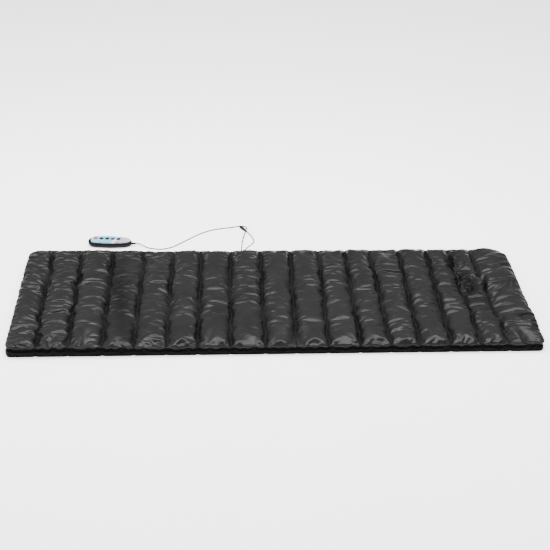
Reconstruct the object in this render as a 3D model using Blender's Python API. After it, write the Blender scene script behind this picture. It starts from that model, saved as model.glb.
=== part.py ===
"""A quilted, heated vibration mat with a corded handset and a power socket on a short lead.

Frame: +X along the mat towards its head end, +Y across it towards the cable outlet, +Z up.
The origin is the middle of the mat's underside. The mat folds up at two of its seams.
"""

import math

import bmesh
import bpy
from mathutils import Matrix, Vector

MM = 0.001
GAP = 0.3 * MM  # between two pieces that touch on the real mat

# The mat: channels run across it, and two of its seams are folds between three sections.
CHANNEL_PITCH = 100 * MM
SECTION_CHANNELS = {"foot": 6, "waist": 5, "head": 6}
MAT_WIDTH = 580 * MM
CROWN_HEIGHT = 45 * MM
SEAM_HEIGHT = 14 * MM
CORNER_RADIUS = 50 * MM
EDGE_SHARE = 0.62  # how much of a channel's crown stands at the mat's outer edge
EDGE_ROWS = ((0.0, EDGE_SHARE), (8 * MM, 0.87), (25 * MM, 1.0))  # distance in, share of the crown
CHANNEL_STEPS = 4
CORNER_STEPS = 4
FOLD_CLEARANCE = 0.2 * MM  # each section's end to the fold axis

# Layers of the mat, from the underside up.
COVER = 1.0 * MM
FOAM = 6.0 * MM
WIRING = 3.0 * MM  # the layer that holds the heater and the wiring loom
SLOPE_ALLOWANCE = 1.5  # vertical offset for an offset square to a channel's flank

# Vibration pods, two in each section.
POD_CHANNEL = {"foot": 2, "waist": 2, "head": 3}
POD_OFFSET = 130 * MM
POD_RADIUS = 27 * MM
POD_HEIGHT = 24 * MM
POD_WALL = 2.0 * MM
POD_EDGE = 3 * MM  # the chamfer round a pod's top
POD_POCKET_CLEARANCE = 0.8 * MM
MOTOR_RADIUS = 9 * MM
MOTOR_LENGTH = 24 * MM
MOTOR_CLEARANCE = 1.0 * MM  # motor can to pod base
SHAFT_RADIUS = 1.1 * MM
SHAFT_SEAT = 6 * MM
WEIGHT_RADIUS = 7.5 * MM
WEIGHT_LENGTH = 8 * MM
SADDLE_WIDTH = 14 * MM
SADDLE_THICKNESS = 3 * MM
POD_SIDES = 20
SMALL_SIDES = 12

# Heater, thermal cut-out and wiring loom.
HEATER = (360 * MM, 180 * MM, 0.8 * MM)
CUTOUT = (16 * MM, 7 * MM)
CUTOUT_PLACE = (90 * MM, 45 * MM)
LOOM_WIDTH = 6 * MM

# Cable outlet in the mat's back edge.
OUTLET_CHANNEL = 1  # counted in the waist section, from its foot end
OUTLET_NECK = (20 * MM, 4 * MM, 6 * MM)
OUTLET_FLANGE = (26 * MM, 2 * MM, 10 * MM)
COLLAR_SPACING = 9 * MM
COLLAR_LENGTH = 7 * MM

# Handset, in its own frame: +X towards the cord, +Z up.
HANDSET_LENGTH = 158 * MM
HANDSET_WIDTH = 57 * MM
HANDSET_NOSE = 11 * MM  # the width of its flat cord end
HANDSET_STANDOFF = 95.5 * MM  # from the mat's back edge to the handset's centre
HANDSET_X = -577.5 * MM
HANDSET_TURN = math.radians(-4)
HANDSET_STEPS = 14
BASE_HEIGHT = 20 * MM
SHELL_WALL = 2.0 * MM
TOP_HEIGHT = 6 * MM
TOP_INSET = 1.2 * MM
FACE_INSET = 4.2 * MM
FACE_THICKNESS = 0.6 * MM
FACE_RECESS = 0.9 * MM
CEILING = 1.0 * MM  # top shell left under the face panel
BUTTON_RADIUS = 5.6 * MM
POWER_RADIUS = 7.6 * MM
BUTTON_PLACES = {"power": -51, "mode": -30, "zone": -9.5, "strength": 11, "heat": 31.5}
BUTTON_TRAVEL = 0.8 * MM
BUTTON_PROUD = 2.2 * MM
BUTTON_FLANGE = 1.0 * MM
BUTTON_CLEARANCE = 0.3 * MM
KEYPAD = (104 * MM, 24 * MM, 1.5 * MM)
BOARD = (106 * MM, 28 * MM, 1.6 * MM)
BOARD_X = -8 * MM
SCREW_PLACES = (-67 * MM, 61 * MM)
SCREW_RADIUS = 1.4 * MM
SCREW_HEAD = (2.8 * MM, 2.0 * MM)
SCREW_SINK = 0.6 * MM
BOSS_RADIUS = 4.2 * MM

# Cords and the power socket.
CORD_RADIUS = 1.8 * MM
LEAD_RADIUS = 1.6 * MM
RELIEF_HEIGHT = 9 * MM
RELIEF_BARREL = 3.3 * MM
RELIEF_LENGTH = 17 * MM
SOCKET_PLACE = (-92.3 * MM, 493.3 * MM)
SOCKET_HEADING = math.radians(122)
SOCKET_RADIUS = 4.8 * MM
SOCKET_BODY = 30 * MM
SOCKET_TAIL = 16 * MM
SOCKET_BORE = 3.4 * MM
SOCKET_DEPTH = 10 * MM
SLEEVE_WALL = 0.35 * MM
PIN_RADIUS = 1.05 * MM
PIN_LENGTH = 8 * MM
ON_FLOOR = 0.1 * MM  # a cord's lowest line above the floor
LEVEL_END = 9 * MM  # the straight stretch where a cord leaves a piece

HALF_WIDTH = MAT_WIDTH / 2
FOAM_LOW = COVER + GAP
FOAM_TOP = FOAM_LOW + FOAM
WIRING_LOW = FOAM_TOP + GAP
WADDING_LOW = WIRING_LOW + WIRING + GAP
OUTLET_HEIGHT = WIRING_LOW + WIRING / 2


# ---------------------------------------------------------------- helpers


def new_object(name, bm, material, parent=None):
    """Turns a bmesh into a named object with outward faces and a material."""
    bmesh.ops.recalc_face_normals(bm, faces=bm.faces)
    if bm.calc_volume(signed=True) < 0:
        bmesh.ops.reverse_faces(bm, faces=bm.faces)
    mesh = bpy.data.meshes.new(name)
    bm.to_mesh(mesh)
    bm.free()
    obj = bpy.data.objects.new(name, mesh)
    bpy.context.scene.collection.objects.link(obj)
    if material:
        mesh.materials.append(material)
    obj.parent = parent
    return obj


def hide(obj):
    """Marks a cutter or a joined helper, which isn't a piece of the mat."""
    obj.hide_render = True
    obj.display_type = "WIRE"
    return obj


def boolean(obj, other, operation):
    modifier = obj.modifiers.new(f"{operation.lower()} {other.name}", "BOOLEAN")
    modifier.operation = operation
    modifier.solver = "EXACT"
    modifier.object = hide(other)


def round_shading(obj, degrees=35):
    obj.data.shade_smooth()
    obj.data.set_sharp_from_angle(angle=math.radians(degrees))
    return obj


def box_mesh(size, centre):
    bm = bmesh.new()
    bmesh.ops.create_cube(bm, size=1, matrix=Matrix.Translation(centre) @ Matrix.Diagonal((*size, 1)))
    return bm


def prism_mesh(outline, low, high):
    """A prism on a plan outline."""
    bm = bmesh.new()
    floor = [bm.verts.new((x, y, low)) for x, y in outline]
    base = bm.faces.new(floor)
    lifted = bmesh.ops.extrude_face_region(bm, geom=[base])["geom"]
    upper = [item for item in lifted if isinstance(item, bmesh.types.BMVert)]
    bmesh.ops.translate(bm, verts=upper, vec=(0, 0, high - low))
    return bm


def turned_mesh(profile, sides):
    """A solid turned about Z from a profile of (radius, height) points that starts and ends on the axis."""
    bm = bmesh.new()
    line = [bm.verts.new((radius, 0, height)) for radius, height in profile]
    edges = [bm.edges.new(pair) for pair in zip(line, line[1:])]
    bmesh.ops.spin(
        bm, geom=line + edges, cent=(0, 0, 0), axis=(0, 0, 1), angle=math.tau, steps=sides, use_merge=True
    )
    bmesh.ops.remove_doubles(bm, verts=bm.verts, dist=0.01 * MM)
    return bm


def loft_mesh(loops):
    """A closed skin through loops of equally many points; the first and the last loop are capped."""
    bm = bmesh.new()
    rings = [[bm.verts.new(point) for point in loop] for loop in loops]
    for lower, upper in zip(rings, rings[1:]):
        for k in range(len(lower)):
            after = (k + 1) % len(lower)
            bm.faces.new((lower[k], lower[after], upper[after], upper[k]))
    bm.faces.new(rings[0])
    bm.faces.new(rings[-1])
    return bm


def material(name, colour, roughness, metallic=0.0):
    made = bpy.data.materials.new(name)
    made.use_nodes = True
    shader = made.node_tree.nodes["Principled BSDF"]
    shader.inputs["Base Color"].default_value = (*colour, 1)
    shader.inputs["Roughness"].default_value = roughness
    shader.inputs["Metallic"].default_value = metallic
    return made


# ---------------------------------------------------------------- the mat's quilted layers


def section_span(section):
    """The section's two ends along X, before any inset."""
    names = list(SECTION_CHANNELS)
    before = sum(SECTION_CHANNELS[n] for n in names[: names.index(section)])
    start = (before - sum(SECTION_CHANNELS.values()) / 2) * CHANNEL_PITCH
    return start, start + SECTION_CHANNELS[section] * CHANNEL_PITCH


def end_insets(section, inset):
    """How far the section's ends lie inside its span: an outer end, or a fold."""
    low = inset if section == "foot" else inset + FOLD_CLEARANCE
    high = inset if section == "head" else inset + FOLD_CLEARANCE
    return low, high


def outer_distance(section, x):
    """Distance from x to the mat's outer end, where this section has one."""
    start, end = section_span(section)
    return {"foot": x - start, "head": end - x}.get(section, math.inf)


def corner_columns(inset):
    """(Distance from the mat's outer end, half width) round a corner, from the end inwards."""
    radius = CORNER_RADIUS - inset
    angles = [math.pi / 2 * k / CORNER_STEPS for k in range(CORNER_STEPS + 1)]
    middle = HALF_WIDTH - CORNER_RADIUS
    return [(CORNER_RADIUS - radius * math.cos(a), middle + radius * math.sin(a)) for a in angles]


def columns(section, inset):
    """(X, half width) at each station of a section's grid: channel steps and a round corner's arc."""
    start, end = section_span(section)
    low, high = end_insets(section, inset)
    step = CHANNEL_PITCH / CHANNEL_STEPS
    stations = [start + k * step for k in range(SECTION_CHANNELS[section] * CHANNEL_STEPS + 1)]
    stations[0] = start + low
    stations[-1] = end - high
    clear = CORNER_RADIUS + step / 4
    line = [(x, HALF_WIDTH - inset) for x in stations if outer_distance(section, x) > clear]
    corner = corner_columns(inset)
    if section == "foot":
        line = [(start + distance, half) for distance, half in corner] + line
    if section == "head":
        line += [(end - distance, half) for distance, half in reversed(corner)]
    return line


def crown_share(section, x):
    """0 at a seam and 1 along the middle of a channel; the outer half of an end channel stays tall."""
    start, _ = section_span(section)
    share = abs(math.sin(math.pi * (x - start) / CHANNEL_PITCH))
    if outer_distance(section, x) < CHANNEL_PITCH / 2:
        share = EDGE_SHARE + (1 - EDGE_SHARE) * share
    return share


def top_height(section, x, row_share, inset):
    rise = (CROWN_HEIGHT - SEAM_HEIGHT) * crown_share(section, x) * row_share
    return SEAM_HEIGHT + rise - inset * SLOPE_ALLOWANCE


def row_places(half, inset):
    """(Y, share of the crown) across the mat, from its front edge to its back edge."""
    near = [(-half + max(0, distance - inset), share) for distance, share in EDGE_ROWS]
    return near + [(-y, share) for y, share in reversed(near)]


def add_skin(bm, section, inset, low):
    """Adds a section's top and side faces, and returns its lowest ring of points."""
    grid = []
    for x, half in columns(section, inset):
        rows = row_places(half, inset)
        grid.append([bm.verts.new((x, y, top_height(section, x, share, inset))) for y, share in rows])
    for first, second in zip(grid, grid[1:]):
        for k in range(len(first) - 1):
            bm.faces.new((first[k], second[k], second[k + 1], first[k + 1]))
    border = [line[0] for line in grid] + grid[-1][1:]
    border += [line[-1] for line in reversed(grid[:-1])] + grid[0][-2:0:-1]
    ring = [bm.verts.new((v.co.x, v.co.y, low)) for v in border]
    for k in range(len(border)):
        after = (k + 1) % len(border)
        bm.faces.new((border[k], border[after], ring[after], ring[k]))
    return ring


def plan_outline(section, inset):
    """The section's outline seen from above, counterclockwise from its front left corner."""
    front = [(x, -half) for x, half in columns(section, inset)]
    return front + [(x, -y) for x, y in reversed(front)]


def make_top_cover(section, cloth):
    """The quilted upper fabric: a thin shell over the filling, down to the mat's underside."""
    bm = bmesh.new()
    outer = add_skin(bm, section, 0, COVER + GAP)
    inner = add_skin(bm, section, COVER, COVER + GAP)
    for k in range(len(outer)):
        after = (k + 1) % len(outer)
        bm.faces.new((outer[k], outer[after], inner[after], inner[k]))
    return new_object(f"top_cover_{section}", bm, cloth)


def make_wadding(section, filling):
    """The fibre filling of a section's channels, with a pocket for each pod."""
    bm = bmesh.new()
    bm.faces.new(add_skin(bm, section, COVER + GAP, WADDING_LOW))
    wadding = new_object(f"wadding_{section}", bm, filling)
    for number, (x, y) in enumerate(pod_places(section), 1):
        radius = POD_RADIUS + POD_POCKET_CLEARANCE
        ceiling = WIRING_LOW + POD_HEIGHT + POD_POCKET_CLEARANCE
        profile = [(0, 0), (radius, 0), (radius, ceiling - POD_EDGE)]
        profile += [(radius - POD_EDGE, ceiling), (0, ceiling)]
        pocket = new_object(f"pocket_{section}_{number}", turned_mesh(profile, POD_SIDES), None)
        pocket.location = (x, y, 0)
        boolean(wadding, pocket, "DIFFERENCE")
    return wadding


def make_layers(cloth, lining, filling, foam):
    """The layers of each section. The outlet passes through three of them."""
    for section in SECTION_CHANNELS:
        pieces = [make_top_cover(section, cloth), make_wadding(section, filling)]
        new_object(f"bottom_cover_{section}", prism_mesh(plan_outline(section, 0), 0, COVER), lining)
        sheet = prism_mesh(plan_outline(section, COVER + GAP), FOAM_LOW, FOAM_TOP)
        pieces.append(new_object(f"foam_sheet_{section}", sheet, foam))
        if section == "waist":
            width, depth, height = (side + 2 * GAP for side in OUTLET_NECK)
            slot_depth = COVER + depth
            slot = box_mesh(
                (width, 2 * slot_depth, height), (outlet_x(), HALF_WIDTH, OUTLET_HEIGHT)
            )
            cutter = new_object("outlet_slot", slot, None)
            for piece in pieces:
                boolean(piece, cutter, "DIFFERENCE")


# ---------------------------------------------------------------- pods, heater, loom and outlet


def channel_middle(section, channel):
    return section_span(section)[0] + (channel + 0.5) * CHANNEL_PITCH


def pod_places(section):
    x = channel_middle(section, POD_CHANNEL[section])
    return [(x, -POD_OFFSET), (x, POD_OFFSET)]


def outlet_x():
    return channel_middle("waist", OUTLET_CHANNEL)


def make_pod(name, place, plastic, steel, brass):
    """A vibration pod: a base with two saddles, a cap, a motor lying in the saddles, and its rotor."""
    x, y = place
    origin = bpy.data.objects.new(f"{name}_place", None)
    bpy.context.scene.collection.objects.link(origin)
    origin.location = (x, y, WIRING_LOW)
    axis_height = POD_WALL + MOTOR_CLEARANCE + MOTOR_RADIUS
    motor_start = -(MOTOR_LENGTH + WEIGHT_LENGTH) / 2

    floor = [(0, 0), (POD_RADIUS, 0), (POD_RADIUS, POD_WALL), (0, POD_WALL)]
    base = new_object(f"{name}_base", turned_mesh(floor, POD_SIDES), plastic, origin)
    for end, along in (("rear", 0.2), ("front", 0.8)):
        saddle_top = axis_height - MOTOR_RADIUS / 3
        saddle = box_mesh(
            (SADDLE_THICKNESS, SADDLE_WIDTH, saddle_top),
            (motor_start + along * MOTOR_LENGTH, 0, saddle_top / 2),
        )
        boolean(base, new_object(f"{name}_saddle_{end}", saddle, None, origin), "UNION")
    trough = bmesh.new()
    bmesh.ops.create_cone(
        trough,
        cap_ends=True,
        segments=POD_SIDES,
        radius1=MOTOR_RADIUS + GAP,
        radius2=MOTOR_RADIUS + GAP,
        depth=2 * MOTOR_LENGTH,
        matrix=Matrix.Translation((motor_start, 0, axis_height)) @ Matrix.Rotation(math.pi / 2, 4, "Y"),
    )
    boolean(base, new_object(f"{name}_trough", trough, None, origin), "DIFFERENCE")

    low, inner_radius, ceiling = POD_WALL + GAP, POD_RADIUS - POD_WALL, POD_HEIGHT - POD_WALL
    cap = [(0, ceiling), (inner_radius - POD_EDGE, ceiling)]
    cap += [(inner_radius, ceiling - POD_EDGE), (inner_radius, low)]
    cap += [(POD_RADIUS, low), (POD_RADIUS, POD_HEIGHT - POD_EDGE)]
    cap += [(POD_RADIUS - POD_EDGE, POD_HEIGHT), (0, POD_HEIGHT)]
    round_shading(new_object(f"{name}_cap", turned_mesh(cap, POD_SIDES), plastic, origin))

    lying = Matrix.Translation((motor_start, 0, axis_height)) @ Matrix.Rotation(math.pi / 2, 4, "Y")
    bore = SHAFT_RADIUS + GAP
    neck = 3 * MM
    can = [(0, 0), (MOTOR_RADIUS, 0), (MOTOR_RADIUS, MOTOR_LENGTH - neck)]
    can += [(MOTOR_RADIUS / 2, MOTOR_LENGTH - neck)]
    can += [(MOTOR_RADIUS / 2, MOTOR_LENGTH), (bore, MOTOR_LENGTH), (bore, MOTOR_LENGTH - SHAFT_SEAT)]
    can += [(0, MOTOR_LENGTH - SHAFT_SEAT)]
    motor = turned_mesh(can, POD_SIDES)
    bmesh.ops.transform(motor, matrix=lying, verts=motor.verts)
    round_shading(new_object(f"{name}_motor", motor, steel, origin))

    rotor = new_object(f"{name}_rotor", rotor_mesh(), brass, origin)
    rotor.location = (motor_start + MOTOR_LENGTH, 0, axis_height)
    half_disc = new_object(f"{name}_half_disc", half_disc_mesh(), None, origin)
    half_disc.location = rotor.location
    boolean(rotor, half_disc, "UNION")


def rotor_mesh():
    """The motor's shaft, along X, with its zero at the motor's front face."""
    shaft = bmesh.new()
    length = SHAFT_SEAT - GAP + MM + WEIGHT_LENGTH
    bmesh.ops.create_cone(
        shaft,
        cap_ends=True,
        segments=SMALL_SIDES,
        radius1=SHAFT_RADIUS,
        radius2=SHAFT_RADIUS,
        depth=length,
        matrix=Matrix.Translation((length / 2 - SHAFT_SEAT + GAP, 0, 0)) @ Matrix.Rotation(math.pi / 2, 4, "Y"),
    )
    return shaft


def half_disc_mesh():
    """The eccentric weight: half a disc that hangs below the shaft and wraps it."""
    arc = [math.pi + math.pi * k / SMALL_SIDES for k in range(SMALL_SIDES + 1)]
    outline = [(WEIGHT_RADIUS * math.cos(a), WEIGHT_RADIUS * math.sin(a)) for a in arc]
    shoulder = 2 * SHAFT_RADIUS
    outline += [(shoulder, shoulder), (-shoulder, shoulder)]
    bm = prism_mesh(outline, MM, MM + WEIGHT_LENGTH - 2 * GAP)
    turn = Matrix(((0, 0, 1, 0), (1, 0, 0, 0), (0, 1, 0, 0), (0, 0, 0, 1)))
    bmesh.ops.transform(bm, matrix=turn, verts=bm.verts)
    return bm


def comb_outline(start, end, branches):
    """A strip along X with square branches: (x, y of the branch's end), on either side."""
    half = LOOM_WIDTH / 2
    back, front = [(start, half)], [(start, -half)]
    for x, reach in sorted(branches):
        side = back if reach > 0 else front
        root = half if reach > 0 else -half
        side += [(x - half, root), (x - half, reach), (x + half, reach), (x + half, root)]
    return front + [(end, -half), (end, half)] + back[::-1]


def make_wiring(foil, tape, bakelite):
    """The heater with its cut-out, and one length of the loom in each section."""
    loom_low = WIRING_LOW + HEATER[2] + GAP
    loom_top = WIRING_LOW + WIRING
    heater_middle = (channel_middle("waist", POD_CHANNEL["waist"]), 0, WIRING_LOW + HEATER[2] / 2)
    new_object("heater_panel", box_mesh(HEATER, heater_middle), foil)
    cutout_middle = (heater_middle[0] + CUTOUT_PLACE[0], CUTOUT_PLACE[1], (loom_low + loom_top) / 2)
    new_object("thermal_cutout", box_mesh((*CUTOUT, loom_top - loom_low), cutout_middle), bakelite)
    for section in SECTION_CHANNELS:
        start, end = section_span(section)
        low, high = end_insets(section, COVER + GAP)
        reach = POD_OFFSET - POD_RADIUS - POD_POCKET_CLEARANCE
        branches = [(x, math.copysign(reach, y)) for x, y in pod_places(section)]
        if section == "waist":
            branches.append((outlet_x(), HALF_WIDTH - COVER - OUTLET_NECK[1] - 2 * GAP))
        tail = channel_middle(section, POD_CHANNEL[section])
        start = tail - LOOM_WIDTH if section == "foot" else start + low
        end = tail + LOOM_WIDTH if section == "head" else end - high
        outline = comb_outline(start, end, branches)
        new_object(f"loom_{section}", prism_mesh(outline, loom_low, loom_top), tape)


def make_outlet(rubber):
    """The rubber cable outlet: a neck through the cover's wall, a flange and a collar for each cord."""
    outer_face = HALF_WIDTH + GAP
    neck_width, neck_depth, neck_height = OUTLET_NECK
    neck = box_mesh(
        (neck_width, neck_depth + COVER + MM, neck_height),
        (outlet_x(), HALF_WIDTH - (neck_depth + COVER - MM) / 2, OUTLET_HEIGHT),
    )
    outlet = new_object("cable_outlet", neck, rubber)
    flange = box_mesh(OUTLET_FLANGE, (outlet_x(), outer_face + OUTLET_FLANGE[1] / 2, OUTLET_HEIGHT))
    boolean(outlet, new_object("outlet_flange", flange, None), "UNION")
    for side, (x, radius) in enumerate(collar_places()):
        collar = bmesh.new()
        bmesh.ops.create_cone(
            collar,
            cap_ends=True,
            segments=SMALL_SIDES,
            radius1=radius + 1.6 * MM,
            radius2=radius + 0.8 * MM,
            depth=COLLAR_LENGTH,
            matrix=Matrix.Translation((x, outer_face + OUTLET_FLANGE[1] + COLLAR_LENGTH / 2 - MM, OUTLET_HEIGHT))
            @ Matrix.Rotation(-math.pi / 2, 4, "X"),
        )
        boolean(outlet, new_object(f"outlet_collar_{side}", collar, None), "UNION")


def collar_places():
    """(X, cord radius) of the handset cord's collar and of the power lead's."""
    return [
        (outlet_x() - COLLAR_SPACING / 2, CORD_RADIUS),
        (outlet_x() + COLLAR_SPACING / 2, LEAD_RADIUS),
    ]


def collar_end():
    """The Y of the collars' open ends."""
    return HALF_WIDTH + GAP + OUTLET_FLANGE[1] + COLLAR_LENGTH - MM


# ---------------------------------------------------------------- the handset


def handset_half_width(share):
    """Half of the handset's width at share, from -1 at its round end to 1 at its nose."""
    nose = HANDSET_NOSE / 2 * (share + 1) / 2
    waist = 0.94 - 0.08 * share + 0.035 * math.cos(math.tau * share)
    taper = (1 - abs(share) ** 5) ** 0.5 if share < 0 else (1 - share**4) ** 0.7
    return nose + (HANDSET_WIDTH / 2 * waist - nose) * taper


def handset_outline(inset, height):
    """The handset's outline at a height, inset all round, as points in the handset's frame."""
    reach = HANDSET_LENGTH / 2 - inset
    shares = [-math.cos(math.pi * k / HANDSET_STEPS) for k in range(HANDSET_STEPS + 1)]
    back = []
    for share in shares[1:]:
        width = max(handset_half_width(share) - inset, 0.3 * MM)
        back.append((share * reach, width, height))
    front = [(x, -y, z) for x, y, z in reversed(back)]
    return [(-reach, 0, height), *back, *front]


def handset_loops(levels):
    return [handset_outline(inset, height) for inset, height in levels]


def make_handset(black, silver, label, caps, silicone, fibreglass, steel, rubber):
    origin = bpy.data.objects.new("handset_place", None)
    bpy.context.scene.collection.objects.link(origin)
    origin.location = (HANDSET_X, HALF_WIDTH + HANDSET_STANDOFF, 0)
    origin.rotation_euler = (0, 0, HANDSET_TURN)
    heights = handset_heights()
    make_base_shell(origin, heights, black)
    make_top_shell(origin, heights, silver)
    make_face_panel(origin, heights, label)
    make_buttons(origin, heights, caps)
    keypad = box_mesh(KEYPAD, (BOARD_X - 2 * MM, 0, heights["keypad_top"] - KEYPAD[2] / 2))
    new_object("keypad", keypad, silicone, origin)
    board = box_mesh(BOARD, (BOARD_X, 0, heights["board_top"] - BOARD[2] / 2))
    new_object("circuit_board", board, fibreglass, origin)
    for number, x in enumerate(SCREW_PLACES, 1):
        make_screw(origin, number, x, heights, steel)
    make_strain_relief(origin, rubber)


def handset_heights():
    """The heights of the handset's stack, from the floor up."""
    top_low = BASE_HEIGHT + GAP
    top = top_low + TOP_HEIGHT
    ceiling = top - FACE_RECESS - CEILING
    flange_top = ceiling - GAP
    foot = flange_top - 2 * BUTTON_FLANGE
    keypad_top = foot - BUTTON_TRAVEL - GAP
    board_top = keypad_top - KEYPAD[2] - GAP
    return {
        "top_low": top_low,
        "top": top,
        "ceiling": ceiling,
        "flange_top": flange_top,
        "foot": foot,
        "keypad_top": keypad_top,
        "board_top": board_top,
        "board_low": board_top - BOARD[2],
        "screw_end": ceiling - 2 * GAP - MM,
    }


def upright(radius, low, high, x, y, sides=SMALL_SIDES):
    bm = bmesh.new()
    bmesh.ops.create_cone(
        bm,
        cap_ends=True,
        segments=sides,
        radius1=radius,
        radius2=radius,
        depth=high - low,
        matrix=Matrix.Translation((x, y, (low + high) / 2)),
    )
    return bm


def make_base_shell(origin, heights, black):
    """The lower shell: a tray with two screw bosses, four board posts and a hole for the strain relief."""
    floor = SHELL_WALL
    levels = [(7 * MM, 0), (2.4 * MM, 2.5 * MM), (0.4 * MM, 7 * MM), (0, BASE_HEIGHT)]
    levels += [(SHELL_WALL, BASE_HEIGHT), (SHELL_WALL + 0.6 * MM, 7 * MM), (9 * MM, floor)]
    shell = new_object("handset_base", loft_mesh(handset_loops(levels)), black, origin)
    for number, x in enumerate(SCREW_PLACES, 1):
        boss = upright(BOSS_RADIUS, floor / 2, BASE_HEIGHT, x, 0)
        boolean(shell, new_object(f"boss_{number}", boss, None, origin), "UNION")
    for number, (side_x, side_y) in enumerate(((-1, -1), (-1, 1), (1, -1), (1, 1)), 1):
        x = BOARD_X + side_x * (BOARD[0] / 2 - 6 * MM)
        y = side_y * (BOARD[1] / 2 - 4 * MM)
        post = upright(2 * MM, floor / 2, heights["board_low"] - GAP, x, y, 8)
        boolean(shell, new_object(f"post_{number}", post, None, origin), "UNION")
    for number, x in enumerate(SCREW_PLACES, 1):
        head_radius, head_height = SCREW_HEAD
        shoulder = SCREW_SINK + head_height + GAP
        bore = SCREW_RADIUS + GAP
        profile = [(0, -MM), (head_radius + GAP, -MM), (head_radius + GAP, shoulder), (bore, shoulder)]
        profile += [(bore, BASE_HEIGHT + MM), (0, BASE_HEIGHT + MM)]
        cutter = turned_mesh(profile, SMALL_SIDES)
        bmesh.ops.translate(cutter, verts=cutter.verts, vec=(x, 0, 0))
        boolean(shell, new_object(f"screw_hole_{number}", cutter, None, origin), "DIFFERENCE")
    hole = upright(RELIEF_BARREL + GAP, -8 * MM, 8 * MM, 0, 0)
    lying = Matrix.Translation((HANDSET_LENGTH / 2, 0, RELIEF_HEIGHT)) @ Matrix.Rotation(math.pi / 2, 4, "Y")
    bmesh.ops.transform(hole, matrix=lying, verts=hole.verts)
    boolean(shell, new_object("relief_hole", hole, None, origin), "DIFFERENCE")


def make_top_shell(origin, heights, silver):
    """The upper shell: a low lid with a recess for the face panel, button holes and two screw posts."""
    low, top, ceiling = heights["top_low"], heights["top"], heights["ceiling"]
    levels = [(TOP_INSET, low), (TOP_INSET + 0.5 * MM, low + 3 * MM), (TOP_INSET + 1.6 * MM, top - 0.6 * MM)]
    levels += [(FACE_INSET - MM, top), (FACE_INSET - GAP, top), (FACE_INSET - GAP, top - FACE_RECESS)]
    outside = handset_loops(levels)
    levels = [(FACE_INSET + MM, ceiling), (TOP_INSET + SHELL_WALL, ceiling - MM)]
    levels.append((TOP_INSET + SHELL_WALL, low))
    inside = handset_loops(levels)
    bm = loft_mesh(inside + outside)
    shell = new_object("handset_top", bm, silver, origin)
    for number, x in enumerate(SCREW_PLACES, 1):
        post = upright(BOSS_RADIUS - 0.7 * MM, low, ceiling + CEILING / 2, x, 0)
        boolean(shell, new_object(f"top_post_{number}", post, None, origin), "UNION")
        hole = upright(SCREW_RADIUS + GAP, low - MM, heights["screw_end"] + GAP, x, 0)
        boolean(shell, new_object(f"top_hole_{number}", hole, None, origin), "DIFFERENCE")
    cut_button_holes(shell, origin, heights)


def button_radius(button):
    return POWER_RADIUS if button == "power" else BUTTON_RADIUS


def cut_button_holes(piece, origin, heights):
    for button, place in BUTTON_PLACES.items():
        radius = button_radius(button) + BUTTON_CLEARANCE
        hole = upright(radius, heights["ceiling"] - MM, heights["top"] + MM, place * MM, 0, POD_SIDES)
        boolean(piece, new_object(f"{piece.name}_hole_{button}", hole, None, origin), "DIFFERENCE")


def make_face_panel(origin, heights, label):
    """The printed panel that fills the top shell's recess."""
    low = heights["top"] - FACE_RECESS + GAP
    loops = handset_loops([(FACE_INSET, low), (FACE_INSET, low + FACE_THICKNESS)])
    panel = new_object("face_panel", loft_mesh(loops), label, origin)
    cut_button_holes(panel, origin, heights)


def make_buttons(origin, heights, caps):
    """Five domed buttons, each held under the top shell by its flange."""
    for button, place in BUTTON_PLACES.items():
        radius = button_radius(button)
        flange = radius + MM
        foot, flange_top = heights["foot"], heights["flange_top"]
        crown = heights["top"] + BUTTON_PROUD
        profile = [(0, foot), (radius - MM, foot), (radius - MM, foot + BUTTON_FLANGE)]
        profile += [(flange, foot + BUTTON_FLANGE), (flange, flange_top), (radius, flange_top)]
        for step in range(5):
            angle = math.pi / 2 * step / 4
            dome = radius - 2 * MM * (1 - math.cos(angle))
            profile.append((dome if step < 4 else 0, crown - 1.4 * MM * (1 - math.sin(angle))))
        cap = turned_mesh(profile, POD_SIDES)
        piece = round_shading(new_object(f"button_{button}", cap, caps[button], origin))
        piece.location = (place * MM, 0, 0)


def make_screw(origin, number, x, heights, steel):
    head_radius, head_height = SCREW_HEAD
    shoulder = SCREW_SINK + head_height
    profile = [(0, SCREW_SINK), (head_radius, SCREW_SINK), (head_radius, shoulder), (SCREW_RADIUS, shoulder)]
    profile += [(SCREW_RADIUS, heights["screw_end"]), (0, heights["screw_end"])]
    screw = new_object(f"handset_screw_{number}", turned_mesh(profile, SMALL_SIDES), steel, origin)
    screw.location = (x, 0, 0)


def make_strain_relief(origin, rubber):
    """The tapered rubber sleeve where the cord leaves the handset's nose."""
    barrel = 4 * MM
    profile = [(0, -barrel), (RELIEF_BARREL, -barrel), (RELIEF_BARREL, GAP), (RELIEF_BARREL + 1.2 * MM, GAP)]
    tip = CORD_RADIUS + 0.7 * MM
    profile += [(RELIEF_BARREL + 0.9 * MM, 4 * MM), (tip, RELIEF_LENGTH), (0, RELIEF_LENGTH)]
    sleeve = turned_mesh(profile, POD_SIDES)
    lying = Matrix.Translation((HANDSET_LENGTH / 2, 0, RELIEF_HEIGHT)) @ Matrix.Rotation(math.pi / 2, 4, "Y")
    bmesh.ops.transform(sleeve, matrix=lying, verts=sleeve.verts)
    round_shading(new_object("handset_strain_relief", sleeve, rubber, origin))


# ---------------------------------------------------------------- cords and the power socket


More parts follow.
